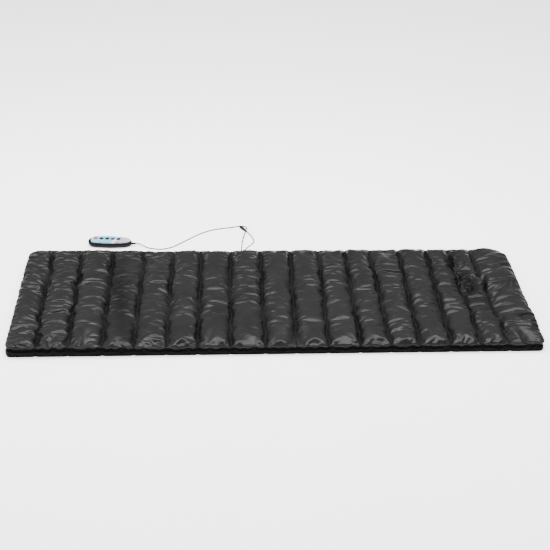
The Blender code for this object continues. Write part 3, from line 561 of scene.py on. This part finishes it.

# %% [markdown]
# One round of subdivision smooths the cover. Then it is cut in two down the middle channel, because
# each half follows one fold. The cut runs along the channel's crown, where it doesn't show. Each half
# gets an underside and a wall at the cut, and so becomes a closed pad. The underside is laced straight
# across from the front edge to the back edge.
#
# Some numbers travel with the points for later: where a point lies on the flat plan, how far down the
# band it is, and a painted amount of light, least in the stitched valleys, the hollow and the slack
# channel, which the satin turns into painted shade.

# %% Values that travel with the cover
def keep_values(obj, name, values):
    """Stores one number for each point, for a material or a later step to read."""
    layer = obj.data.attributes.new(name, "FLOAT", "POINT")
    layer.data.foreach_set("value", values.astype(np.float32))


keep_values(cover, "plan_x", plan_x)
# Painted shade: lit is low in the stitched valleys, the hollow and the slack channel, and the satin's colour
# and shine are darkened there by it.
lit = (0.3 + 0.7 * smooth_step(from_seam / 0.1)) * (1 - 0.9 * np.clip(hollow * 1.4, 0, 1)) * (1 - slack)
keep_values(cover, "lit", np.where(is_top, lit, 1))
keep_values(cover, "down_band", down)
seam_lines = {}
for number in range(1, CHANNELS):
    line = sewn[on_seam & (seam_number == number)]
    seam_lines[number] = line[np.argsort(line[:, 1])]
print("seams kept for the stitches:", len(seam_lines))

# %% Cutting the halves
CUT_X = 0.0
CUT_MARGIN = 0.5 * MM
END_X = LENGTH / 2 - 0.1 * MM


def quilt_half(name, keep_low):
    """A copy of the cover on one side of the cut, closed below."""
    half = cover.copy()
    half.data = cover.data.copy()
    bpy.context.scene.collection.objects.link(half)
    half.name = name
    half.data.name = name
    half.vertex_groups.clear()
    plan = np.zeros(len(half.data.vertices), dtype=np.float32)
    half.data.attributes["plan_x"].data.foreach_get("value", plan)
    other_side = plan > CUT_X + CUT_MARGIN if keep_low else plan < CUT_X - CUT_MARGIN
    beyond = {int(i) for i in np.where(other_side)[0]}
    pick(half, "VERT", lambda centre, vert: vert.index in beyond)
    bpy.ops.mesh.delete(type="VERT")
    bpy.ops.object.mode_set(mode="OBJECT")
    close_below(half)
    half.data.shade_smooth()
    print(name, "has", len(half.data.polygons), "faces")
    return half


def close_below(half):
    """Laces the front floor line to the back one with straight quads, then fills cut and end."""
    only(half)
    bpy.ops.object.mode_set(mode="EDIT")
    bpy.ops.mesh.select_mode(type="EDGE")
    bpy.ops.mesh.select_all(action="DESELECT")
    bm = bmesh.from_edit_mesh(half.data)
    layer = bm.verts.layers.float["plan_x"]
    band = bm.verts.layers.float["down_band"]
    for edge in bm.edges:
        edge.smooth = not edge.is_boundary
        low = all(vert[band] > FULLY_DOWN for vert in edge.verts)
        at_end = all(abs(vert[layer]) > END_X for vert in edge.verts)
        edge.select_set(edge.is_boundary and low and not at_end)
    bm.select_flush_mode()
    bmesh.update_edit_mesh(half.data)
    bpy.ops.mesh.bridge_edge_loops()
    bpy.ops.mesh.select_all(action="SELECT")
    bpy.ops.mesh.fill_holes(sides=0)
    bpy.ops.mesh.normals_make_consistent(inside=False)
    bpy.ops.object.mode_set(mode="OBJECT")


smoothing = cover.modifiers.new("smoothing", "SUBSURF")
smoothing.levels = 1
smoothing.render_levels = 1
freeze(cover)
foot_half = quilt_half("quilt_foot_side", True)
head_half = quilt_half("quilt_head_side", False)
bpy.data.objects.remove(cover)

# %% [markdown]
# ## Finishes
#
# Each finish is one material made from a few nodes on Object coordinates: a slow noise that shifts
# colour and roughness a little from place to place, and a fine one for the surface's grain, which
# only tilts the light. The same recipe, with other numbers, makes moulded plastic, rubber or metal.


# %% The recipe for a plain finish
def new_finish(name, roughness, metallic=0.0):
    """A material with its node tree, its shader and its Object coordinates."""
    made = bpy.data.materials.new(name)
    made.use_nodes = True
    nodes, links = made.node_tree.nodes, made.node_tree.links
    shader = nodes["Principled BSDF"]
    shader.inputs["Roughness"].default_value = roughness
    shader.inputs["Metallic"].default_value = metallic
    place = nodes.new("ShaderNodeTexCoord").outputs["Object"]
    return made, nodes, links, shader, place


def noise_at(nodes, links, place, scale, detail=3.0):
    """Cloudy noise of this scale."""
    texture = nodes.new("ShaderNodeTexNoise")
    texture.inputs["Scale"].default_value = scale
    texture.inputs["Detail"].default_value = detail
    links.new(place, texture.inputs["Vector"])
    return texture.outputs["Fac"]


def spread(nodes, links, value, low, high, start=0.3, end=0.7):
    """Maps a value between start and end to between low and high."""
    ranged = nodes.new("ShaderNodeMapRange")
    for socket, number in (("From Min", start), ("From Max", end), ("To Min", low), ("To Max", high)):
        ranged.inputs[socket].default_value = number
    links.new(value, ranged.inputs["Value"])
    return ranged.outputs["Result"]


def mixed(nodes, links, factor, first, second):
    """A colour between two, each a colour or a socket."""
    blend = nodes.new("ShaderNodeMix")
    blend.data_type = "RGBA"
    links.new(factor, blend.inputs["Factor"])
    for socket, colour in ((blend.inputs[6], first), (blend.inputs[7], second)):
        if isinstance(colour, bpy.types.NodeSocket):
            links.new(colour, socket)
        else:
            socket.default_value = (*colour, 1)
    return blend.outputs[2]


def bump_from(nodes, links, shader, value, strength, depth, under=None):
    """Tilts the surface by a height value; under is another bump to lie on."""
    bump = nodes.new("ShaderNodeBump")
    bump.inputs["Strength"].default_value = strength
    bump.inputs["Distance"].default_value = depth
    links.new(value, bump.inputs["Height"])
    if under:
        links.new(under, bump.inputs["Normal"])
    links.new(bump.outputs["Normal"], shader.inputs["Normal"])
    return bump.outputs["Normal"]


def plain_finish(
    name, colour, roughness, metallic=0.0, shine=0.5, uneven=0.12, patch=60, grain=2200, depth=0.03 * MM
):
    """A finish with slow changes of tone and roughness, and a fine grain."""
    made, nodes, links, shader, place = new_finish(name, roughness, metallic)
    shader.inputs["Specular IOR Level"].default_value = shine
    slow = noise_at(nodes, links, place, patch)
    darker = tuple(c * (1 - uneven) for c in colour)
    lighter = tuple(min(1, c * (1 + uneven)) for c in colour)
    links.new(mixed(nodes, links, slow, darker, lighter), shader.inputs["Base Color"])
    rough = spread(nodes, links, slow, roughness * 0.85, min(1, roughness * 1.15))
    links.new(rough, shader.inputs["Roughness"])
    bump_from(nodes, links, shader, noise_at(nodes, links, place, grain), 0.25, depth)
    return made


# %% [markdown]
# Satin is woven so that long threads lie on top, which is why it shines. Its folds catch the lamp as
# soft streaks, and it turns dull where it has been rubbed. The stitched valleys, the hollow and the slack
# channel get painted shade: by the lit value the cloth's colour is darker there and its shine lower. The
# side band, which faces away from the lamp, gets painted shade too, a darker colour and almost no shine.

# %% Satin, lining and thread
SATIN_FRESH = (0.0033, 0.0033, 0.0035)
SATIN_RUBBED = (0.0058, 0.0057, 0.0056)
# Painted shade for the stitched valleys, the hollow and the slack channel.
SATIN_PAINTED_SHADE = (0.002, 0.002, 0.002)
# Painted shade for the side band, which also gets almost no shine.
SATIN_BAND_PAINTED_SHADE = (0.0013, 0.0013, 0.0013)
BAND_SHINE = 0.03
THREADS_SCALE = 420


def satin_finish():
    """Black satin: rubbed patches, painted shade in the valleys and on the band, and a fine weave over small
    creases.
    """
    made, nodes, links, shader, place = new_finish("black_satin", 0.36)
    painted_lit = nodes.new("ShaderNodeAttribute")
    painted_lit.attribute_name = "lit"
    band = nodes.new("ShaderNodeAttribute")
    band.attribute_name = "down_band"
    rubbed = noise_at(nodes, links, place, 7, 5)
    cloth = mixed(nodes, links, spread(nodes, links, rubbed, 0, 1), SATIN_FRESH, SATIN_RUBBED)
    # Painted shade: the cloth's colour darkens where lit is low.
    cloth = mixed(nodes, links, painted_lit.outputs["Fac"], SATIN_PAINTED_SHADE, cloth)
    # Painted shade on the side band: a darker colour and lower shine down the band.
    side = spread(nodes, links, band.outputs["Fac"], 0, 1, 0.02, 0.14)
    links.new(mixed(nodes, links, side, cloth, SATIN_BAND_PAINTED_SHADE), shader.inputs["Base Color"])
    # Painted shade also lowers the shine where lit is low.
    shine = spread(nodes, links, painted_lit.outputs["Fac"], 0.08, 0.175, 0, 1)
    band_shade_shine = nodes.new("ShaderNodeMix")
    links.new(side, band_shade_shine.inputs["Factor"])
    links.new(shine, band_shade_shine.inputs[2])
    band_shade_shine.inputs[3].default_value = BAND_SHINE
    links.new(band_shade_shine.outputs[0], shader.inputs["Specular IOR Level"])
    rough = spread(nodes, links, noise_at(nodes, links, place, 16, 4), 0.31, 0.44)
    links.new(rough, shader.inputs["Roughness"])
    threads = []
    for direction in ("X", "Y"):
        wave = nodes.new("ShaderNodeTexWave")
        wave.bands_direction = direction
        wave.inputs["Scale"].default_value = THREADS_SCALE
        wave.inputs["Distortion"].default_value = 0.6
        links.new(place, wave.inputs["Vector"])
        threads.append(wave.outputs["Fac"])
    weave = nodes.new("ShaderNodeMath")
    weave.operation = "MULTIPLY"
    links.new(threads[0], weave.inputs[0])
    links.new(threads[1], weave.inputs[1])
    creased = bump_from(nodes, links, shader, noise_at(nodes, links, place, 90, 4), 0.1, 0.4 * MM)
    bump_from(nodes, links, shader, weave.outputs["Value"], 0.12, 0.05 * MM, creased)
    return made


def lining_finish():
    """A dull, ribbed cloth."""
    made, nodes, links, shader, place = new_finish("underside_lining", 0.8)
    wave = nodes.new("ShaderNodeTexWave")
    wave.inputs["Scale"].default_value = 160
    links.new(place, wave.inputs["Vector"])
    slow = noise_at(nodes, links, place, 9, 4)
    tone = mixed(nodes, links, slow, (0.012, 0.012, 0.012), (0.026, 0.026, 0.027))
    links.new(tone, shader.inputs["Base Color"])
    bump_from(nodes, links, shader, wave.outputs["Fac"], 0.3, 0.2 * MM)
    return made


# %% Dressing the halves
satin = satin_finish()
lining = lining_finish()
thread = plain_finish("black_thread", (0.0014, 0.0014, 0.0015), 0.8, shine=0.03, grain=4000)
for half in (foot_half, head_half):
    half.data.materials.clear()
    half.data.materials.append(satin)
    half.data.materials.append(lining)
    below = [face for face in half.data.polygons if face.normal.z < -0.5 and face.center.z < GROOVE + MM]
    for face in below:
        face.material_index = 1
    print(half.name, "has", len(below), "lining faces")

# %% [markdown]
# Now each half stands for the plain soft solids of the frame, and bends at its own fold: within five
# centimetres of the fold it turns smoothly from one section's motion to the other's.

# %% Riding and bending
FOLD_X = 2.5 * PITCH
BEND_REACH = 50 * MM
LAYERS = ("top_cover", "wadding", "foam_sheet", "bottom_cover")


def on_fold(obj, side):
    """Lets a soft piece of the mat bend at its half's fold."""
    if side == "foot":
        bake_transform(obj, "foot", "waist", (-FOLD_X - BEND_REACH, 0, 0), (-FOLD_X + BEND_REACH, 0, 0))
    else:
        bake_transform(obj, "waist", "head", (FOLD_X - BEND_REACH, 0, 0), (FOLD_X + BEND_REACH, 0, 0))


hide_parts(*[f"{layer}_{section}" for layer in LAYERS for section in ("foot", "waist")])
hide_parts(*[f"{layer}_head" for layer in LAYERS])
for half, side in ((foot_half, "foot"), (head_half, "head")):
    on_fold(half, side)

# %% [markdown]
# ## Stitches
#
# A quilt's seams are rows of short stitches that pull the satin down. Each stitch is a little rod with
# drawn-in ends, copied along its seam every six and a half millimetres, and all copies of one half are
# joined into one piece.

# %% Rows of stitches
LAST_FOOT_SEAM = 8
SEAM_END = 5 * MM
STITCH_LIFT = 0.9 * MM
STITCH_STEP = 6.5 * MM
STITCH_LENGTH = 4.6 * MM
STITCH_RADIUS = 0.45 * MM


def stitch_model():
    """One stitch along Y: a six-sided rod whose ends are drawn in."""
    bpy.ops.mesh.primitive_cylinder_add(vertices=6, radius=STITCH_RADIUS, depth=STITCH_LENGTH)
    obj = renamed("stitch")
    obj.rotation_euler = (math.pi / 2, 0, 0)
    freeze(obj)
    pick(obj, "FACE", lambda centre, face: abs(face.normal.y) > 0.9)
    bpy.ops.mesh.inset(thickness=0.2 * MM, depth=0.25 * MM, use_individual=True)
    bpy.ops.object.mode_set(mode="OBJECT")
    return obj


def stitch_seams(name, numbers, side):
    """One piece with all stitches of these seams."""
    model = stitch_model()
    copies = []
    for number in numbers:
        line = seam_lines[number]
        run = np.arange(line[0, 1] + SEAM_END, line[-1, 1] - SEAM_END, STITCH_STEP)
        x = np.interp(run, line[:, 1], line[:, 0])
        z = np.interp(run, line[:, 1], line[:, 2])
        for k in range(len(run)):
            ahead = min(k + 1, len(run) - 1)
            behind = max(k - 1, 0)
            along = Vector((x[ahead] - x[behind], run[ahead] - run[behind], z[ahead] - z[behind]))
            copy = model.copy()
            copy.data = model.data.copy()
            place = Matrix.Translation((x[k], run[k], z[k] + STITCH_LIFT))
            copy.data.transform(place @ along.to_track_quat("Y", "Z").to_matrix().to_4x4())
            bpy.context.scene.collection.objects.link(copy)
            copies.append(copy)
    only(copies[0])
    for copy in copies:
        copy.select_set(True)
    bpy.ops.object.join()
    row = renamed(name)
    row.data.materials.clear()
    row.data.materials.append(thread)
    bpy.data.objects.remove(model)
    on_fold(row, side)
    print(name, "has", len(copies), "stitches")


stitch_seams("stitches_foot_side", range(1, LAST_FOOT_SEAM + 1), "foot")
stitch_seams("stitches_head_side", range(LAST_FOOT_SEAM + 1, CHANNELS), "head")

# %% [markdown]
# ## The handset
#
# The handset is built by stacking rings. A filled ring of points is extruded again and again, and each
# new ring is moved to its own outline: this makes the shell's soft shoulders, the lid and every button.
# The outline is that of the frame's own shell, so everything lands in its place.

# %% Stacking rings
HANDSET_LENGTH = 158 * MM
HANDSET_WIDTH = 57 * MM
HANDSET_NOSE = 11 * MM
TO_HANDSET = Matrix.Translation(HANDSET_PLACE) @ Matrix.Rotation(HANDSET_TURN, 4, "Z")


def stacked(name, rings, place=TO_HANDSET, angle=40):
    """A closed body: a filled ring, extruded to each following ring in turn."""
    count = len(rings[0])
    bpy.ops.mesh.primitive_circle_add(vertices=count, radius=1, fill_type="NGON")
    obj = renamed(name)
    set_points(obj.data, rings[0])
    obj.data.attributes.new("order", "INT", "POINT").data.foreach_set("value", list(range(count)))
    pick(obj, "FACE", lambda centre, face: True)
    for ring in rings[1:]:
        bpy.ops.mesh.extrude_region_move()
        bm = bmesh.from_edit_mesh(obj.data)
        order = bm.verts.layers.int["order"]
        for vert in bm.verts:
            if vert.select:
                vert.co = ring[vert[order]]
        bmesh.update_edit_mesh(obj.data)
    bpy.ops.mesh.select_all(action="SELECT")
    bpy.ops.mesh.normals_make_consistent(inside=False)
    bpy.ops.object.mode_set(mode="OBJECT")
    obj.data.transform(place)
    only(obj)
    bpy.ops.object.shade_smooth_by_angle(angle=math.radians(angle))
    return obj


def outline_ring(inset, height, front_extra=0.0, round_extra=0.0, steps=40):
    """The handset's outline, inset; its front side and its round end may be drawn in further."""
    reach = HANDSET_LENGTH / 2 - inset
    shares = -np.cos(np.pi * np.arange(1, steps + 1) / steps)
    taper = np.where(shares < 0, (1 - np.abs(shares) ** 5) ** 0.5, np.clip(1 - shares**4, 0, 1) ** 0.7)
    nose = HANDSET_NOSE / 2 * (shares + 1) / 2
    waist = HANDSET_WIDTH / 2 * (0.94 - 0.08 * shares + 0.035 * np.cos(math.tau * shares))
    width = np.maximum(nose + (waist - nose) * taper - inset, 0.3 * MM)
    moved = shares * reach + round_extra * np.clip(-shares, 0, 1) ** 4
    sway = 1 + 0.35 * np.sin(7.5 * shares + 0.6)
    back = [(x, w, height) for x, w in zip(moved, width)]
    front = [(x, -max(w - front_extra * s, 0.2 * MM), height) for x, w, s in zip(moved, width, sway)]
    return [(-reach + round_extra, 0, height), *back, *reversed(front)]


def circle(radius, height, x, count=32):
    """A level ring of points round a place on the handset's middle line."""
    turns = np.arange(count) * math.tau / count
    return [(x + radius * math.cos(a), radius * math.sin(a), height) for a in turns]


def finish_piece(obj, body, slot_name, material, *nodes):
    """Gives a piece its material and its body, and hides the nodes that it stands for; slot_name is not
    used.
    """
    obj.data.materials.clear()
    obj.data.materials.append(material)
    if nodes:
        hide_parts(*nodes)
    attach(obj, body)
    print(obj.name, "has", len(obj.data.polygons), "faces")


# %% [markdown]
# The handset's colours: a glossy black shell, a lid printed from pale blue to lavender with a white
# sweep between them, and five domed buttons, the power button in a silver bezel and the others in dark
# ones.

# %% The printed face
SWEEP_PLACE = (-0.577, 0.36, 0)
SWEEP_SLANT = -0.55
SWEEP_REACH = 90 * MM
PRINT_STOPS = (
    (0.0, (0.22, 0.46, 0.55)),
    (0.50, (0.09, 0.36, 0.50)),
    (0.56, (0.72, 0.75, 0.79)),
    (0.61, (0.30, 0.27, 0.40)),
    (1.0, (0.40, 0.40, 0.47)),
)


def face_finish():
    """Two pale colours that meet at a slanted white sweep, under a fine pearl fleck."""
    made, nodes, links, shader, place = new_finish("printed_face", 0.35)
    mapping = nodes.new("ShaderNodeMapping")
    mapping.inputs["Location"].default_value = [-value for value in SWEEP_PLACE]
    links.new(place, mapping.inputs["Vector"])
    apart = nodes.new("ShaderNodeSeparateXYZ")
    links.new(mapping.outputs["Vector"], apart.inputs["Vector"])
    sweep = nodes.new("ShaderNodeMath")
    sweep.operation = "MULTIPLY_ADD"
    sweep.inputs[1].default_value = SWEEP_SLANT
    links.new(apart.outputs["Y"], sweep.inputs[0])
    links.new(apart.outputs["X"], sweep.inputs[2])
    ramp = nodes.new("ShaderNodeValToRGB")
    for index, (at, colour) in enumerate(PRINT_STOPS):
        stop = ramp.color_ramp.elements[index] if index < 2 else ramp.color_ramp.elements.new(at)
        stop.position = at
        stop.color = (*colour, 1)
    along = spread(nodes, links, sweep.outputs["Value"], 0, 1, -SWEEP_REACH, SWEEP_REACH)
    links.new(along, ramp.inputs["Fac"])
    fleck = noise_at(nodes, links, place, 1800, 2)
    pearl = mixed(nodes, links, spread(nodes, links, fleck, 0, 0.12), ramp.outputs["Color"], (1, 1, 1))
    links.new(pearl, shader.inputs["Base Color"])
    shader.inputs["Specular IOR Level"].default_value = 0.2
    bump_from(nodes, links, shader, noise_at(nodes, links, place, 300), 0.05, 0.02 * MM)
    return made


# %% Shell, bezels and caps
gloss_black = plain_finish(
    "gloss_black", (0.002, 0.002, 0.0022), 0.2, shine=0.10, patch=25, grain=900, depth=0.01 * MM
)
face_print = face_finish()
bezel_dark = plain_finish("dark_bezel", (0.003, 0.005, 0.014), 0.35, shine=0.08)
bezel_silver = plain_finish("silver_bezel", (0.75, 0.72, 0.76), 0.22, metallic=0.6)
CAP_COLOURS = {
    "power": (0.36, 0.05, 0.15),
    "mode": (0.016, 0.034, 0.075),
    "zone": (0.016, 0.036, 0.042),
    "strength": (0.075, 0.060, 0.12),
    "heat": (0.036, 0.032, 0.075),
}
caps = {}
for name, colour in CAP_COLOURS.items():
    caps[name] = plain_finish(f"{name}_cap", colour, 0.4, shine=0.06, patch=150)
print("cap colours:", len(caps))

# %% [markdown]
# The shell is a shallow tray that swells to its widest at mid height. Two screws hold it from below, so
# two holes are drilled there with a boolean. The lid rises from it as a low dome.

# %% The lower shell
SCREW_X = (-67 * MM, 61 * MM)
SCREW_BORE = 3.1 * MM
SHELL_LEVELS = [(9, 0.4), (5.5, 0.5), (3.2, 1.3), (1.5, 3.6), (0.5, 7), (0, 12)]
SHELL_LEVELS += [(0.1, 15.6), (0.6, 17.6), (1.6, 18.7), (2.8, 19.0), (3.8, 18.8)]
shell_rings = [outline_ring(inset * MM, height * MM) for inset, height in SHELL_LEVELS]
shell = stacked("handset_shell", shell_rings)
for x in SCREW_X:
    bpy.ops.mesh.primitive_cylinder_add(vertices=24, radius=SCREW_BORE, depth=6 * MM)
    drill = renamed("drill")
    drill.data.transform(TO_HANDSET @ Matrix.Translation((x, 0, -0.3 * MM)))
    cut = shell.modifiers.new("drill", "BOOLEAN")
    cut.object = drill
    cut.operation = "DIFFERENCE"
    cut.solver = "EXACT"
    freeze(shell)
    bpy.data.objects.remove(drill)
finish_piece(shell, "waist", "handset_black", gloss_black, "handset_base")

# %% The lid
LID_TOP = 26.6 * MM
LID_FRONT_INSET = 1.8 * MM
LID_END_INSET = 7 * MM
LID_LEVELS = [(3.6, 18.2), (2.7, 19.4), (2.6, 20.9), (3.3, 22.6), (4.9, 24.3)]
LID_LEVELS += [(7.2, 25.7), (9.6, 26.4), (12, 26.6)]
lid_rings = [
    outline_ring(inset * MM, height * MM, LID_FRONT_INSET, LID_END_INSET) for inset, height in LID_LEVELS
]
lid = stacked("handset_lid", lid_rings)
finish_piece(lid, "waist", "face_print", face_print, "handset_top", "face_panel")

# %% [markdown]
# Each button is a domed cap in a low round bezel. The bezel stays with the lid, while the cap moves with
# its own body when it is pressed, so the two are separate pieces.

# %% Buttons and bezels
BUTTON_X = {"power": -51 * MM, "mode": -30 * MM, "zone": -9.5 * MM, "strength": 11 * MM, "heat": 31.5 * MM}
POWER_RADIUS = 7.6 * MM
BUTTON_RADIUS = 5.6 * MM
CAP_PROFILE = [(1, -2.5), (1, 1.1), (0.96, 1.8), (0.86, 2.5), (0.7, 3.0), (0.45, 3.3), (0.2, 3.4)]


def bezel_rings(radius, width, x):
    """A low round frame of this width, with its floor a little way under its rim."""
    profile = [(width, -0.6), (width, 0.4), (width - 0.4 * MM, 1.0)]
    profile += [(0.6 * MM, 1.1), (0.4 * MM, 0.6), (-2 * MM, 0.6)]
    return [circle(radius + extra, LID_TOP + lift * MM, x) for extra, lift in profile]


for button, x in BUTTON_X.items():
    is_power = button == "power"
    radius = POWER_RADIUS if is_power else BUTTON_RADIUS
    bezel = stacked(f"bezel_{button}", bezel_rings(radius, 2.0 * MM if is_power else 2.4 * MM, x))
    finish_piece(bezel, "waist", "face_print", bezel_silver if is_power else bezel_dark)
    cap_rings = [circle(radius * share, LID_TOP + lift * MM, x) for share, lift in CAP_PROFILE]
    cap = stacked(f"cap_{button}", cap_rings)
    finish_piece(cap, f"button_{button}", f"{button}_cap", caps[button], f"button_{button}")

# %% [markdown]
# ## Rubber at both ends of the cord
#
# A strain relief is a sleeve with grooves, so that it bends a little at every rib. The cord outlet in the
# mat's back edge is a moulded plate with two such collars.

# %% Ribbed sleeves
rubber = plain_finish("black_rubber", (0.003, 0.003, 0.0033), 0.45, shine=0.1, grain=1500, depth=0.05 * MM)
cord_skin = plain_finish("cord_skin", (0.002, 0.002, 0.0022), 0.5, shine=0.06, patch=120, grain=2500)
SLEEVE_SIDES = 24


def lying_rings(profile, along_x):
    """Rings round a level axis, X or Y, from (distance along it, radius) pairs."""
    rings = []
    for reach, radius in profile:
        turns = np.arange(SLEEVE_SIDES) * math.tau / SLEEVE_SIDES
        if along_x:
            rings.append([(reach, radius * math.cos(a), radius * math.sin(a)) for a in turns])
        else:
            rings.append([(radius * math.cos(a), reach, radius * math.sin(a)) for a in turns])
    return rings


def ribbed(start, end, wide, narrow, ribs):
    """A tapered profile with a groove after each rib."""
    profile = []
    step = (end - start) / ribs
    for k in range(ribs):
        low = start + (end - start) * k / ribs
        radius = wide + (narrow - wide) * k / ribs
        groove = radius * 0.82
        profile += [(low, groove), (low + 0.12 * step, radius)]
        profile += [(low + 0.6 * step, radius), (low + 0.72 * step, groove)]
    return [(start - 2.5 * MM, wide * 0.9), *profile, (end, narrow), (end + 0.3 * MM, narrow * 0.8)]


relief_place = TO_HANDSET @ Matrix.Translation((HANDSET_LENGTH / 2, 0, RELIEF_HEIGHT))
relief_profile = ribbed(0.5 * MM, 16.6 * MM, 4.6 * MM, 2.5 * MM, 5)
relief = stacked("cord_relief", lying_rings(relief_profile, True), relief_place, 35)
finish_piece(relief, "waist", "cord_rubber", rubber, "handset_strain_relief")

# %% The outlet
OUTLET_SIZE = (26 * MM, 2.4 * MM, 10 * MM)
OUTLET_PLACE = Vector((-100 * MM, 291.4 * MM, OUTLET_HEIGHT))
bpy.ops.mesh.primitive_cube_add(size=1)
plate = renamed("cord_outlet")
plate.data.transform(Matrix.Diagonal((*OUTLET_SIZE, 1)))
pick(plate, "EDGE", lambda centre, edge: abs((edge.verts[0].co - edge.verts[1].co).y) > MM)
bpy.ops.mesh.bevel(offset=3.5 * MM, segments=5)
bpy.ops.object.mode_set(mode="OBJECT")
pick(plate, "FACE", lambda centre, face: face.normal.y > 0.9)
bpy.ops.mesh.inset(thickness=1.2 * MM)
bpy.ops.mesh.inset(thickness=0.4 * MM, depth=-0.5 * MM)
bpy.ops.object.mode_set(mode="OBJECT")
plate.data.transform(Matrix.Translation(OUTLET_PLACE))
collars = []
for x, radius in ((CORD_EXIT_X, CORD_RADIUS), (LEAD_EXIT_X, LEAD_RADIUS)):
    profile = ribbed(0, 6.8 * MM, radius + 1.9 * MM, radius + 0.7 * MM, 3)
    place = Matrix.Translation((x, OUTLET_PLACE.y, OUTLET_PLACE.z))
    collars.append(stacked("collar", lying_rings(profile, False), place, 35))
only(plate)
for collar in collars:
    collar.select_set(True)
bpy.ops.object.join()
finish_piece(plate, "waist", "cord_rubber", rubber, "cable_outlet")

# %% [markdown]
# ## Everything that stays as it came
#
# The hard pieces inside keep their shapes and get real finishes: moulded pods, steel motor cans, brass
# weights, an amber heater film with its printed tracks, a green board.

# %% Finishes for the hard pieces
def tracked_finish(name, ground, track, roughness, scale, metallic=0.0):
    """A sheet with thin printed tracks, as on a circuit board or a heater."""
    made, nodes, links, shader, place = new_finish(name, roughness, metallic)
    wave = nodes.new("ShaderNodeTexWave")
    wave.inputs["Scale"].default_value = scale
    wave.inputs["Distortion"].default_value = 3
    links.new(place, wave.inputs["Vector"])
    lines = spread(nodes, links, wave.outputs["Fac"], 0, 1, 0.82, 0.86)
    links.new(mixed(nodes, links, lines, ground, track), shader.inputs["Base Color"])
    bump_from(nodes, links, shader, lines, 0.3, 0.05 * MM)
    return made


FINISHES = {
    "cover": satin,
    "lining": lining,
    "filling": plain_finish("fibre_filling", (0.75, 0.75, 0.73), 0.95, grain=500, depth=0.4 * MM),
    "foam": plain_finish("foam", (0.55, 0.52, 0.40), 0.9, grain=900, depth=0.3 * MM),
    "pod_plastic": plain_finish("pod_plastic", (0.03, 0.032, 0.035), 0.42),
    "motor_steel": plain_finish("motor_steel", (0.56, 0.57, 0.58), 0.32, 1.0),
    "rotor_brass": plain_finish("rotor_brass", (0.71, 0.50, 0.20), 0.3, 1.0),
    "heater_film": tracked_finish("heater_film", (0.42, 0.16, 0.02), (0.12, 0.10, 0.09), 0.35, 14),
    "loom_tape": plain_finish("loom_tape", (0.05, 0.05, 0.055), 0.5),
    "handset_black": gloss_black,
    "handset_silver": plain_finish("silver_plastic", (0.62, 0.62, 0.66), 0.25, 0.4),
    "face_print": face_print,
    "keypad_silicone": plain_finish("keypad_silicone", (0.45, 0.46, 0.48), 0.6),
    "board": tracked_finish("green_board", (0.01, 0.10, 0.035), (0.45, 0.36, 0.15), 0.4, 60),
    "screw_steel": plain_finish("screw_steel", (0.50, 0.51, 0.53), 0.28, 1.0),
    "cord_rubber": rubber,
    **{f"{name}_cap": made for name, made in caps.items()},
}
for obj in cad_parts.values():
    for slot in obj.material_slots:
        slot.material = FINISHES[slot.material.name.split(".")[0]]
for cord in (handset_cord, power_lead):
    cord.data.materials.clear()
    cord.data.materials.append(cord_skin)
print("finishes for the frame's nodes:", len(FINISHES))

# %% [markdown]
# The floor is a sheet of white studio paper, lit from behind: it glows a little, so that the mat stands
# on a pale ground with only a faint shadow.

# %% The floor's finish
FLOOR_GLOW = 1.8
floor_finish, nodes, links, shader, place = new_finish("studio_paper", 0.9)
tone = mixed(nodes, links, noise_at(nodes, links, place, 3), (0.90, 0.90, 0.90), (0.94, 0.94, 0.94))
links.new(tone, shader.inputs["Base Color"])
links.new(tone, shader.inputs["Emission Color"])
shader.inputs["Emission Strength"].default_value = FLOOR_GLOW
floor.data.materials.append(floor_finish)
print("floor finish:", floor_finish.name)
